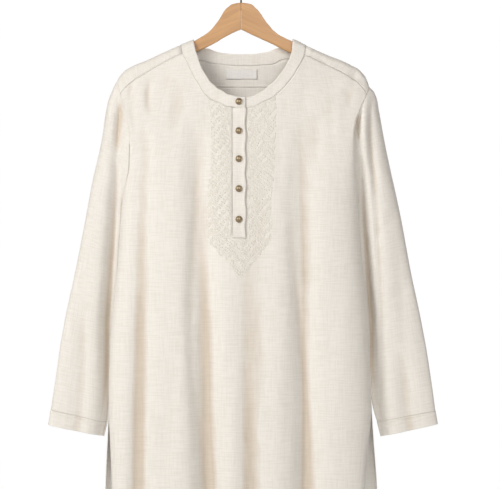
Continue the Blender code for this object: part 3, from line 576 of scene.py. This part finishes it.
def frontTop(a):
    column = a * colCount
    for part, count in frontCols:
        if column <= count + 1e-6:
            break
        column -= count
    step = column / count
    if part == "left":
        return frontSeam(-1, easeOut(1 - step))
    if part == "right":
        return frontSeam(1, easeOut(step))
    if part == "neckLeft":
        return seamPoint(neckKeys[8] + (neckKeys[2] - neckKeys[8]) * step)
    if part == "neckRight":
        return seamPoint(neckKeys[25] + (neckKeys[18] - neckKeys[25]) * step)
    x = shape["slotLeft"] + (shape["slotRight"] - shape["slotLeft"]) * step
    return x, alongOf(-1, x, -261.3 * mm)


slotStart = (frontGrid["shoulder"] + frontGrid["neck"]) / colCount
slotEnd = slotStart + frontGrid["slot"] / colCount
slotRow = (frontGrid["hem"] + frontGrid["side"]) / rowCount
clothGrid("front_panel", colCount, rowCount, panelPlace(-1, frontTop, frontRows, shape["corner"]), clothPlain,
          ["front"], shape["cloth"], (Vector((0.06, -0.03, -0.55)), forward),
          cut=lambda a, b: slotStart < a < slotEnd and b > slotRow)
print("front panel made")

# back panel
backGrid = {"side": 36, "middle": 50, "arm": 50, "body": 76, "hem": 34}
backRows = [(backGrid["hem"], shape["hem"], shape["slit"]), (backGrid["body"], shape["slit"], shape["underarm"]),
            (backGrid["arm"], shape["underarm"], shape["armTop"])]
backLeft = sideAt[1, -1](shape["armTop"])
backRight = sideAt[1, 1](shape["armTop"])
backCount = backGrid["side"] * 2 + backGrid["middle"]


def backTop(a):
    column = a * backCount
    if column <= backGrid["side"]:
        x = backLeft + (-60 * mm - backLeft) * (1 - easeOut(1 - column / backGrid["side"]))
    elif column >= backCount - backGrid["side"]:
        x = backRight + (60 * mm - backRight) * (1 - easeOut(1 - (backCount - column) / backGrid["side"]))
    else:
        x = -60 * mm + 120 * mm * (column - backGrid["side"]) / backGrid["middle"]
    return x, alongOf(1, x, backSeam(x))


clothGrid("back_panel", backCount, sum(row[0] for row in backRows),
          panelPlace(1, backTop, backRows, shape["armTop"]), clothPlain, ["back"], shape["cloth"],
          (Vector((0.06, 0.03, -0.55)), backward))
print("back panel made")

# yoke
yokeGrid = {"along": 150, "across": 22, "turn": 26}


def armEdge(way, side, share):
    x = sideAt[-1, way](-225 * mm)
    for _ in range(12):
        x = (x + sideAt[-1, way](ridgeAt(x))) / 2
    peak = ridgeAt(x)
    if share < 1e-6:
        return x, 0.0
    low = shape["corner"] if side < 0 else shape["armTop"]
    z = peak + (low - peak) * (1 - math.cos(share * math.pi / 2))
    x = sideAt[-1, way](z)
    return x, alongOf(side, x, z)


def yokeLine(a):  # neck point and outer point of one line of the yoke, and how its front end bends
    turn = yokeGrid["turn"] / yokeGrid["along"]
    way = -1 if a < 0.5 else 1
    near = min(a, 1 - a) * 2 / turn  # 1 at the ridge, 2 at the back seam's end
    if near <= 1:
        top, corner = (9, 8) if way < 0 else (17, 18)
        return (seamPoint(neckKeys[top] + (neckKeys[corner] - neckKeys[top]) * (1 - near)),
                armEdge(way, -1, 1 - near) if near > 0 else frontSeam(way, 1.0), 2.2)
    neckSpan = neckKeys[17] - neckKeys[9]
    if near < 2:
        run = 0.16 * (near - 1)
        return seamPoint(neckKeys[9] + neckSpan * (run if way < 0 else 1 - run)), armEdge(way, 1, near - 1), 1.0
    step = (a - turn) / (1 - 2 * turn)
    x = backLeft + (backRight - backLeft) * step
    return seamPoint(neckKeys[9] + neckSpan * (0.16 + 0.68 * step)), (x, alongOf(1, x, backSeam(x))), 1.0


def yokePlace(a, b):
    (x, along), (endX, endAlong), bend = yokeLine(a)
    step = easeOut(1 - b)
    point = topPoint(x + (endX - x) * step, along + (endAlong - along) * step ** bend)
    if point.y < 0:
        point.y += creaseSum(frontCreases, point.x, point.z) * smoothStep(-point.y / (9 * mm))
    soft = crumple(point.x * 1.3, point.y + point.z, 5) * 3.2 * b * (1 - b)
    return point + soft * Vector((0, 1 if point.y > 0 else -1, 0.4))


clothGrid("shoulder_yoke", yokeGrid["along"], yokeGrid["across"], yokePlace, clothPlain, ["yoke"],
          shape["cloth"], (topPoint(0, alongOf(1, 0, -200 * mm)), backward))
print("yoke made")


# neck band
def bandFlat(a, b):
    innerX, innerAlong, seamX, seamAlong = [curve(a * neckKeys[-1]) for curve in bandAt]
    return seamX + (innerX - seamX) * b, seamAlong + (innerAlong - seamAlong) * b


def bandPlace(a, b):
    key = a * neckKeys[-1]
    point = topPoint(*bandFlat(a, b))
    lap = (neckKeys[8] - neckKeys[2]) / 9
    over = (key - neckKeys[2]) / lap
    lift = 2.4 if over < 0 else max(0.0, 2.4 - over if over < 1 else 1.4 * (2 - over))
    point.y -= lift * mm
    return point


clothGrid("neck_band", 260, 10, bandPlace, clothTrim, ["collar"], shape["band"],
          (topPoint(0, alongOf(1, 0, -170 * mm)), backward), unroll=bandFlat)
print("neck band made")

# plackets
placket = {"left": -14.7 * mm, "right": 7.9 * mm, "low": -489.4 * mm, "rise": 1.95 * mm, "wander": 0.9 * mm}


def placketTop(x):
    return topPoint(x, alongOf(-1, x, -261.2 * mm)).z - 0.5 * mm


def placketPlace(a, b):
    level = spread(b, [(0.25, placket["low"], shape["underarm"]), (0.75, shape["underarm"], shape["corner"])])
    edge = placket["wander"] * math.sin(level / mm / 8.1) * min(1.0, (level - placket["low"]) / (20 * mm))
    x = placket["left"] + (placket["right"] + edge - placket["left"]) * a
    ripple = 0.25 * mm * math.sin(level / mm / 5.3) * a ** 3
    ripple += (1.5 * max(0.0, 2 * a - 1) ** 2 - 0.65 * max(0.0, 1 - 2 * a) ** 2) * mm
    return onBody(-1, x, lifted(level, placketTop(x), shape["corner"]), placket["rise"] + ripple)[0]


def underPlace(a, b):
    x = (-12.4 + 18 * a) * mm
    return onBody(-1, x, -486.5 * mm + (placketTop(x) + 486.5 * mm) * b)[0]


placketFace = (onBody(-1, -3 * mm, -0.38)[0], forward)
clothGrid("placket_strip", 12, 120, placketPlace, clothTrim, ["placket_over"], shape["strip"], placketFace)
clothGrid("placket_facing", 6, 60, underPlace, clothTrim, ["placket_under"], shape["cloth"], placketFace)

# blank label inside the back yoke
labelSize = {"left": -27.1 * mm, "right": 28.4 * mm, "top": -191 * mm, "low": -208.5 * mm, "rise": 1.35 * mm}


def labelPlace(a, b):
    x = labelSize["left"] + (labelSize["right"] - labelSize["left"]) * a
    z = labelSize["low"] + (labelSize["top"] - labelSize["low"]) * b
    point = topPoint(x, alongOf(1, x, z))
    point.y -= labelSize["rise"] + 0.25 * mm * math.sin(a * 7) * (1 - b)
    return point


clothGrid("blank_label", 30, 10, labelPlace, labelTape, ["label"], 0.6 * mm,
          (topPoint(0, alongOf(1, 0, -200 * mm)), forward))
print("plackets and label made")

# sleeve lines: share of the length, outer y, inner y, half depth
sleeveDepths = [(0, 0, 0, 24), (0.05, 1, 9, 25), (0.12, 3, 18, 26), (0.2, 5, 24, 26), (0.35, 8, 26, 25),
                (0.5, 9, 26, 23), (0.65, 10, 26, 20), (0.8, 10, 25, 17), (0.92, 10, 24, 14.5), (1, 10, 23, 13)]
sleeveRows = {  # at those shares: outer x, outer z, inner x, inner z
    -1: [(-217, -211, -210, -428.5), (-227.5, -232, -212, -434), (-237, -262, -209, -452), (-244.5, -312, -207, -480),
         (-261, -385, -209.5, -532), (-277, -470, -214.5, -594), (-295, -560, -221, -655),
         (-313.5, -648, -227.5, -722), (-327, -735, -233.5, -782), (-336, -794, -237.5, -816.5)],
    1: [(226, -225, 207.4, -428.5), (236.5, -238, 209.5, -434), (243, -266, 206.5, -452), (250, -305, 204, -480),
        (263.5, -370, 205.5, -532), (281, -450, 209.5, -594), (300, -552, 216, -655), (320, -648, 223.5, -722),
        (334.5, -735, 232.5, -782), (343, -796, 241.5, -815.3)]}
cuffEnds = {-1: (-340.3, -820.5, -243.3, -840.6, 10, 22, 12.5), 1: (347, -818.5, 248, -841, 10, 22, 12.5)}
sleeveFolds = {
    -1: [(-226, -640, -208, -237, 7, 17), (-420, -800, -262, -285, 13, 3.5), (-300, -700, -243, -268, 10, -3)],
    1: [(-215, -640, 200, 231, 6, 19), (-230, -620, 228, 247, 5, 6), (-420, -800, 266, 292, 13, 5),
        (-300, -700, 251, 276, 10, -3)]}
sleeveCreases = {  # x, z at each end, half width, depth
    -1: [(-213, -228, -217, -345, 5, 9), (-224, -222, -232, -300, 5, -2), (-262, -420, -236, -470, 7, 2.4),
         (-276, -520, -244, -560, 8, 2.2), (-290, -600, -270, -780, 10, 2.4), (-248, -330, -268, -520, 7, 1.8)],
    1: [(201, -222, 204, -330, 4.5, 12), (229, -232, 232, -420, 4, 5), (216, -232, 219, -380, 6, -2.5),
        (236, -236, 252, -300, 5, 2.2), (276, -430, 246, -490, 8, 2.4), (300, -560, 262, -610, 9, 2.2),
        (268, -640, 286, -790, 9, 2.6), (312, -600, 326, -760, 8, 1.8)]}
sleeveGrid = {"yokeFront": 12, "front": 36, "back": 34, "yokeBack": 14, "along": 190, "cuff": 34,
              "ridges": (0.07, 0.34)}


class Sleeve:
    def __init__(self, way):
        self.way = way
        rows = [(share, *line, *depths) for (share, *depths), line in zip(sleeveDepths, sleeveRows[way])]
        self.curves = [smoothCurve(rows, i, 1.0) for i in range(1, 8)]
        corner, underarm, armTop = shape["corner"], shape["underarm"], shape["armTop"]
        grid = sleeveGrid
        ring = [topPoint(*armEdge(way, -1, i / grid["yokeFront"])) for i in range(grid["yokeFront"])]
        ring += [bodyPoint(-1, way, corner + (underarm - corner) * i / grid["front"]) for i in range(grid["front"])]
        bottom = self.bottom = len(ring)
        low = bodyPoint(-1, way, underarm)
        ring.append(Vector((low.x, 0, low.z)))
        ring += [bodyPoint(1, way, underarm + (armTop - underarm) * i / grid["back"])
                 for i in range(1, grid["back"] + 1)]
        ring += [topPoint(*armEdge(way, 1, 1 - i / grid["yokeBack"])) for i in range(1, grid["yokeBack"])]
        self.around = len(ring)
        middle, half = (ring[0] + low) / 2, (ring[0] - low) / 2
        turns = [(point - middle).dot(half) / half.length_squared for point in ring]
        self.angles = [math.acos(max(-1.0, min(1.0, turn))) * (1 if point.y <= 0 else -1)
                       for turn, point in zip(turns, ring)]
        self.angles[0] = 0.0
        self.angles[bottom] = math.pi
        least = math.radians(1.1)
        for k in range(1, bottom):
            self.angles[k] = max(self.angles[k], self.angles[k - 1] + least)
        after = 0.0
        for k in range(len(ring) - 1, bottom, -1):
            after = self.angles[k] = min(self.angles[k], after - least)
        self.shift = [point - self.round(0, k) for k, point in enumerate(ring)]

    def round(self, t, k, sizes=None):
        outX, outZ, inX, inZ, outY, inY, deep = sizes or [curve(t) for curve in self.curves]
        start, stop = Vector((outX, outY, outZ)), Vector((inX, inY, inZ))
        point = (start + stop) / 2 + (start - stop) / 2 * math.cos(self.angles[k])
        point.y -= deep * math.sin(self.angles[k])
        return point

    def at(self, t, k):
        place = self.round(t, k) + self.shift[k] * max(0.0, 1 - t / 0.3) ** 2
        if t <= 0:
            place.x += self.way * 0.7 * mm
            return place
        turn = math.sin(self.angles[k])
        front, rear = max(0.0, turn) ** 0.7, max(0.0, -turn) ** 0.7
        folds, creases = sleeveFolds[self.way], sleeveCreases[self.way]
        ease = min(1.0, t / 0.016)
        place.y += foldSum(folds, place.x, place.z) * ease * front
        place.y += creaseSum(creases, place.x, place.z) * ease * (front - rear)
        place.y -= 0.6 * foldSum(folds, place.x + self.way * 14 * mm, place.z) * ease * rear
        place.y += crumple(place.x, place.z, 11 + self.way + (3 if turn < 0 else 0)) * ease * turn * turn
        return place

    def cuff(self, step, k):
        low = self.round(1, k, [value * mm for value in cuffEnds[self.way]])
        start = self.at(1, k)
        down = low - self.round(1, k)
        if step == 0:
            return start + down.normalized() * shape["gap"]
        place = start + down * step
        for ridge in sleeveGrid["ridges"]:
            place.y -= 0.75 * mm * math.exp(-((step - ridge) / 0.055) ** 2) * math.sin(self.angles[k])
        return place

    def station(self, a):
        return (self.bottom - round(a * self.around)) % self.around


sleeves = {way: Sleeve(way) for way in (-1, 1)}
for made, side in zip(sleeves.values(), ("left", "right")):
    clothGrid("sleeve_" + side + "_cloth", made.around, sleeveGrid["along"],
              lambda a, b: made.at((1 - b) ** 1.1, made.station(a)), clothPlain, ["sleeve_" + side],
              shape["cloth"], (made.at(0.5, 20), forward), wrap=True)
    clothGrid("cuff_" + side + "_band", made.around, sleeveGrid["cuff"],
              lambda a, b: made.cuff(1 - b, made.station(a)), clothTrim, ["cuff_" + side], shape["band"],
              (made.cuff(0.5, 30), forward), wrap=True)
print("sleeves and cuffs made")

# hanger halves: x, top z, low z
armRows = {
    -1: [(-0.15, -75, -122), (-13, -77.1, -127.3), (-22.4, -82.7, -132.1), (-30.1, -90.4, -136.2),
         (-36.4, -101.2, -140.1), (-44.3, -112.3, -145), (-53.5, -123.3, -149.7), (-63, -131, -154.3),
         (-72.5, -136.8, -158.6), (-83.3, -143.1, -163.6), (-103.6, -152.4, -173.9), (-143.7, -170.4, -192.2),
         (-170.5, -182.2, -203.6), (-192, -193.4, -213), (-201, -201.5, -210)],
    1: [(0.15, -75, -122), (15, -77.1, -129.2), (26.1, -85, -134.5), (33.9, -93.5, -138), (40.1, -103, -141),
        (49.5, -115.2, -145), (61.9, -128, -151.3), (74.6, -135.9, -157.6), (91, -143.4, -165.3),
        (103.2, -149.4, -170.4), (154, -172.6, -193.1), (194, -190.4, -210.6), (203, -198.5, -207)]}
hanger = {"thick": 11 * mm, "round": 2.3 * mm, "wire": 1.7 * mm, "bore": 2.05 * mm}
for way, side in ((-1, "left"), (1, "right")):
    rows = armRows[way]
    topLine, lowLine = smoothCurve(rows, 1), smoothCurve(rows, 2)
    mesh = bmesh.new()
    bmesh.ops.create_grid(mesh, x_segments=64, y_segments=6, size=0.5)
    for vert in mesh.verts:
        a, b = vert.co.x + 0.5, vert.co.y + 0.5
        step = a if way > 0 else 1 - a
        x = (rows[0][0] + (rows[-1][0] - rows[0][0]) * step ** 1.25) * mm
        vert.co = (x, -hanger["thick"] / 2, lowLine(x) + (topLine(x) - lowLine(x)) * b)
    out = bmesh.ops.extrude_face_region(mesh, geom=mesh.faces[:])
    moved = [item for item in out["geom"] if isinstance(item, bmesh.types.BMVert)]
    bmesh.ops.translate(mesh, verts=moved, vec=(0, hanger["thick"], 0))
    joint = rows[0][0] * mm
    rim = [edge for edge in mesh.edges if len(edge.link_faces) == 2 and edge.calc_face_angle(0) > 1.2
           and abs(edge.verts[0].co.y - edge.verts[1].co.y) < 1e-6
           and not all(abs(vert.co.x - joint) < 1e-6 for vert in edge.verts)]
    bmesh.ops.bevel(mesh, geom=rim, offset=hanger["round"], offset_type="OFFSET", segments=4, profile=0.5,
                    affect="EDGES", clamp_overlap=True, material=-1)
    solidPiece("hanger_" + side + "_wood", mesh, woodMaterial("pale_wood_" + side, -way * 0.42, 0.3 * way),
               ["hanger_" + side])

# hook
hook = {"radius": 20.7 * mm, "around": 20}
spine = []
for i in range(65):
    angle = math.radians(198 - i * 238 / 64)
    spine.append(Vector((hook["radius"] * math.cos(angle), 0,
                         hanger["wire"] - hook["radius"] + hook["radius"] * math.sin(angle))))
start = spine[-1]
bend = (start, start + Vector((-0.643, 0, -0.766)) * 12 * mm, Vector((0, 0, -46 * mm)), Vector((0, 0, -58 * mm)))
for i in range(1, 25):
    t, u = i / 24, 1 - i / 24
    spine.append(bend[0] * u ** 3 + bend[1] * 3 * u * u * t + bend[2] * 3 * u * t * t + bend[3] * t ** 3)
spine += [Vector((0, 0, -72 * mm)), Vector((0, 0, -89 * mm))]
mesh = bmesh.new()
bmesh.ops.create_grid(mesh, x_segments=hook["around"], y_segments=len(spine) - 1, size=0.5)
for vert in mesh.verts:
    i = round((vert.co.y + 0.5) * (len(spine) - 1))
    turn = 2 * math.pi * (vert.co.x + 0.5)
    along = (spine[min(i + 1, len(spine) - 1)] - spine[max(i - 1, 0)]).normalized()
    upward = along.cross(backward)
    vert.co = spine[i] + (backward * math.cos(turn) + upward * math.sin(turn)) * hanger["wire"]
bmesh.ops.remove_doubles(mesh, verts=mesh.verts, dist=1e-6)
bmesh.ops.holes_fill(mesh, edges=[edge for edge in mesh.edges if edge.is_boundary], sides=0)
solidPiece("hook_wire", mesh, hookMetal, ["hook"])
print("hanger and hook made")

# buttons: spun profile, radius and height
buttonRows = [(0.05, 2.5), (1.2, 2.45), (2.4, 2.25), (3.3, 1.95), (3.9, 1.55), (4.25, 1.3), (4.6, 1.5), (4.9, 1.95),
              (5.3, 2.1), (5.7, 1.95), (6.0, 1.5), (6.08, 0.9), (6.0, 0.45), (5.6, 0.2), (0.05, 0.05)]
buttonSpots = [(-3.6, -251.2), (-3.9, -302.2), (-3.5, -351.5), (-3.5, -403.5), (-3.6, -457.0)]
for number, (x, z) in enumerate(buttonSpots):
    here, out = onBody(-1, x * mm, z * mm, (3.85 if number == 0 else 2.95) * mm)
    side = Vector((1, 0, 0)).cross(out).normalized()
    turn = Matrix((out.cross(side), side, out)).transposed()
    mesh = bmesh.new()
    chain = [mesh.verts.new((radius * mm, 0, height * mm)) for radius, height in buttonRows]
    edges = [mesh.edges.new(pair) for pair in zip(chain, chain[1:])]
    bmesh.ops.spin(mesh, geom=chain + edges, cent=(0, 0, 0), axis=(0, 0, 1), angle=2 * math.pi, steps=40,
                   use_merge=True)
    bmesh.ops.remove_doubles(mesh, verts=mesh.verts, dist=2e-6)
    bmesh.ops.holes_fill(mesh, edges=[edge for edge in mesh.edges if edge.is_boundary], sides=0)
    for vert in mesh.verts:
        vert.co = turn @ vert.co + here
    solidPiece(f"brass_button_{number + 1}", mesh, buttonBrass, [f"button_{number + 1}"])
print("buttons made")


def turnTo(spot, along, across, up):
    turn = Matrix((along, across, up)).transposed().to_4x4()
    turn.translation = spot
    return turn


def gather(name, turns, material):  # many small thread shapes as one piece, in batches
    whole = bmesh.new()
    for start in range(0, len(turns), 80):
        batch = bmesh.new()
        for turn in turns[start:start + 80]:
            bmesh.ops.create_icosphere(batch, subdivisions=1, radius=0.5, matrix=turn)
        data = bpy.data.meshes.new("batch")
        batch.to_mesh(data)
        batch.free()
        whole.from_mesh(data)
        bpy.data.meshes.remove(data)
    return solidPiece(name, whole, material, [])


sewing = {"length": 2.3 * mm, "width": 0.6 * mm, "spacing": 3.1 * mm}
labelSewing = {"length": 1.6 * mm, "width": 0.4 * mm, "spacing": 2.2 * mm}


# sewing: short capsules laid along lines of points with their surface normals
def layThreads(name, runs, size=sewing):
    turns = []
    for run in runs:
        travel, due = 0.0, size["spacing"] / 2
        for (here, normal), (after, _) in zip(run, run[1:]):
            step = (after - here).length
            while due <= travel + step and step > 0:
                spot = here + (after - here) * ((due - travel) / step)
                along = (after - here).normalized()
                across = normal.cross(along).normalized()
                up = along.cross(across)
                turns.append(turnTo(spot, along * size["length"], across * size["width"], up * size["width"] * 0.7))
                due += size["spacing"]
            travel += step
    gather(name, turns, sewingThread)


def bodyRun(side, x0, z0, x1, z1, count=50, rise=0.75):
    return [onBody(side, (x0 + (x1 - x0) * i / count) * mm, (z0 + (z1 - z0) * i / count) * mm, rise * mm)
            for i in range(count + 1)]


def outRow(here, first, second, away, rise):  # a point moved out along the normal of two edges, and the normal
    normal = (first - here).cross(second - here).normalized()
    if normal.dot(away) < 0:
        normal = -normal
    return here + normal * rise * mm, normal


def topRun(lineAt, shift, count):  # lineAt gives x and along
    run = []
    for i in range(count + 1):
        x, along = lineAt(i / count)
        along += shift * mm
        here = topPoint(x, along)
        run.append(outRow(here, topPoint(x + 0.5 * mm, along), topPoint(x, along + 0.5 * mm),
                          Vector((0, here.y, 12 * mm)), 0.75))
    return run


def backLine(t):
    x = (backLeft + (backRight - backLeft) * t) * 0.97
    return x, alongOf(1, x, backSeam(x))


runs = [topRun(lambda t: frontSeam(way, 0.02 + 0.96 * t), 2, 60) for way in (-1, 1)]
runs.append(topRun(backLine, -2, 120))
for share in (0.09, 0.76):  # neck band: by the seam and in from the edge
    run = []
    for i in range(301):
        a = 0.004 + 0.992 * i / 300
        here = bandPlace(a, share)
        run.append(outRow(here, here + bandPlace(a + 0.002, share) - bandPlace(a - 0.002, share),
                          bandPlace(a, share + 0.05), Vector((0, here.y, 14 * mm)), 1.15))
    runs.append(run)
layThreads("neck_and_yoke_stitches", runs)
runs = []
for side in (-1, 1):  # hem and side slits
    left, right = [sideAt[side, way](-925 * mm) / mm for way in (-1, 1)]
    runs.append(bodyRun(side, left + 9, -924.3, right - 9, -924.3, 160))
    for way in (-1, 1):
        run = []
        for i in range(61):
            z = shape["slit"] + (turned["hem"] - shape["slit"]) * i / 60
            run.append(onBody(side, way * (halfWidth(side, way, z) - turned["slit"] + 0.6 * mm), z, 0.85 * mm))
        runs.append(run)
        x = way * (halfWidth(side, way, shape["slit"]) - 7 * mm) / mm
        runs.append(bodyRun(side, x, -774.5, x + way * 5, -774.5, 8, 0.8))
for a, x in ((0.08, -13), (0.92, 6)):  # the placket's long edges
    normal = onBody(-1, x * mm, -0.38)[1]
    runs.append([(placketPlace(a, i / 120) + normal * 0.85 * mm, normal) for i in range(1, 119)])
for b in (0.012, 0.034):  # across its low end
    runs.append([(placketPlace(0.06 + 0.88 * i / 12, b) + forward * 0.85 * mm, forward) for i in range(13)])
layThreads("hem_and_placket_stitches", runs)
runs = []
for made in sleeves.values():
    for step in (0.07, 0.27):
        middle = (made.cuff(step, 0) + made.cuff(step, made.bottom)) / 2
        run = []
        for k in range(made.around + 1):
            k %= made.around
            here = made.cuff(step, k)
            run.append(outRow(here, made.cuff(step, (k + 1) % made.around), made.cuff(step + 0.1, k), here - middle,
                              1.15))
        runs.append(run)
layThreads("cuff_stitches", runs)
inX, inZ = 1.3 / 55.5, 1.2 / 17.5  # how far in from the label's edges, as shares of its size
corners = [(inX, 1 - inZ), (1 - inX, 1 - inZ), (1 - inX, inZ), (inX, inZ), (inX, 1 - inZ)]
runs = []
for (a, b), (nextA, nextB) in zip(corners, corners[1:]):
    runs.append([(labelPlace(a + (nextA - a) * i / 12, b + (nextB - b) * i / 12) + forward * 0.45 * mm, forward)
                 for i in range(13)])
layThreads("label_stitches", runs, labelSewing)
print("stitches laid")


# cord along the inside of the back yoke seam
def bindingPlace(a, b):
    x = backLeft * 0.96 + (backRight - backLeft) * 0.96 * a
    z = backSeam(x) + (b - 0.5) * 3.2 * mm
    point = topPoint(x, alongOf(1, x, z))
    point.y -= (0.75 + 0.9 * math.sin(math.pi * b)) * mm
    return point


clothGrid("yoke_seam_binding", 120, 6, bindingPlace, clothTrim, [], 0.5 * mm,
          (bindingPlace(0.5, 0.5), forward))

# embroidery beside the placket, in mm
broider = {"left": 60.5, "right": 62.5, "turn": -493, "point": -563, "step": 8.7, "slope": 50, "leaf": 5.0,
           "leafWidth": 2.2, "leafStep": 4.3, "stem": 2.9, "stemWidth": 1.0, "height": 1.35, "sway": 2.0}


def inBroidery(x, z):
    span = broider["left"] - 6 * smoothStep((-240 - z) / 50) * smoothStep((z + 420) / 60) if x < 0 \
        else broider["right"] - 8 * smoothStep((-300 - z) / 150)
    if z < broider["turn"]:
        span *= max(0.0, (z - broider["point"]) / (broider["turn"] - broider["point"]))
    if abs(x) > span - 1.5 or (z > -492 and -18 < x < 12):
        return False
    return z < -262 + 11 * (abs(x + 3) / 38) ** 1.75 - 3.5


def layShapes(name, shapes):  # shapes: x, z, angle, length, width
    turns = []
    for x, z, angle, length, width in shapes:
        here, normal = onBody(-1, x * mm, z * mm)
        aim = onBody(-1, (x + math.cos(angle)) * mm, (z + math.sin(angle)) * mm)[0] - here
        along = (aim - normal * aim.dot(normal)).normalized()
        turns.append(turnTo(here + normal * 0.72 * mm, along * length * mm, normal.cross(along) * width * mm,
                            normal * broider["height"] * mm))
    gather(name, turns, broiderThread)


def spray(x0, x1, lowZ, seed):  # a scrolling stem with leaves to both sides, knots and curls
    slope = math.radians(broider["slope"] + 3 * noise.noise(Vector((seed * 1.7, x0 * 0.3, 1.0))))
    phase = 6.28 * (seed * 0.7549 % 1)
    length = (x1 - x0) / math.cos(slope)
    stems = []

    def pointAt(along):
        off = broider["sway"] * math.sin(along / 13.5 + phase)
        turn = slope + math.atan(broider["sway"] / 13.5 * math.cos(along / 13.5 + phase))
        return (x0 + along * math.cos(slope) - off * math.sin(slope),
                lowZ + along * math.sin(slope) + off * math.cos(slope), turn)
    for i in range(int(length / broider["stem"])):
        x, z, turn = pointAt(i * broider["stem"])
        stems.append((x, z, turn, broider["stem"] * 1.1, broider["stemWidth"]))
    for i in range(int(length / broider["leafStep"])):
        along = (i + 0.3 * math.sin(i * 5.1 + seed)) * broider["leafStep"]
        x, z, turn = pointAt(along)
        size = 0.86 + 0.24 * math.sin(i * 2.3 + seed * 1.3)
        for way in (-1, 1):
            lean = turn + way * (0.62 + 0.16 * math.sin(i * 3.7 + seed + way))
            reach = 2.7 * size + 0.5
            if (i + seed) % 6 == 0 and way > 0:  # a curl takes the leaf's place
                for k in range(6):
                    spin = turn + 0.4 + k * 1.1
                    stems.append((x + 3.6 * math.cos(lean) + 1.45 * math.cos(spin),
                                  z + 3.6 * math.sin(lean) + 1.45 * math.sin(spin), spin + math.pi / 2, 1.6, 0.85))
            else:
                stems.append((x + reach * math.cos(lean), z + reach * math.sin(lean), lean,
                              broider["leaf"] * size, broider["leafWidth"] * size))
        if (i * 7 + seed * 3) % 5 < 2:
            stems.append((x - 5.4 * math.sin(turn), z + 5.4 * math.cos(turn), 0.0, 1.3, 1.3))
    return stems


for way, side, x0, x1 in ((-1, "left", -64, -2), (1, "right", -4, 66)):
    shapes = [one for row in range(47) for one in spray(x0, x1, -636 + row * broider["step"], row * 2 + (way > 0))
              if inBroidery(one[0], one[1]) and (one[0] + 3) * way > 0]
    layShapes("embroidery_" + side, shapes)
    print("embroidery", side, len(shapes))

# stage: floor and a glowing backdrop far behind
for name, place, tilt, size in (("floor", (0, 0, view["floor"]), 0, 4.5),
                                ("backdrop", (0, view["backdrop"], 0.6), math.pi / 2, 7)):
    mesh = bmesh.new()
    bmesh.ops.create_grid(mesh, x_segments=1, y_segments=1, size=size)
    data = bpy.data.meshes.new(name)
    mesh.to_mesh(data)
    mesh.free()
    made = bpy.data.objects.new(name, data)
    made.location = place
    made.rotation_euler.x = tilt
    paint, _, shader = newMaterial(name + "_paint", Roughness=0.8, Base_Color=(0.86, 0.86, 0.86, 1))
    if name == "backdrop":
        shader.inputs["Base Color"].default_value = (0, 0, 0, 1)
        shader.inputs["Emission Color"].default_value = (1, 1, 1, 1)
        shader.inputs["Emission Strength"].default_value = view["backdropGlow"]
    data.materials.append(paint)
    bpy.context.scene.collection.objects.link(made)
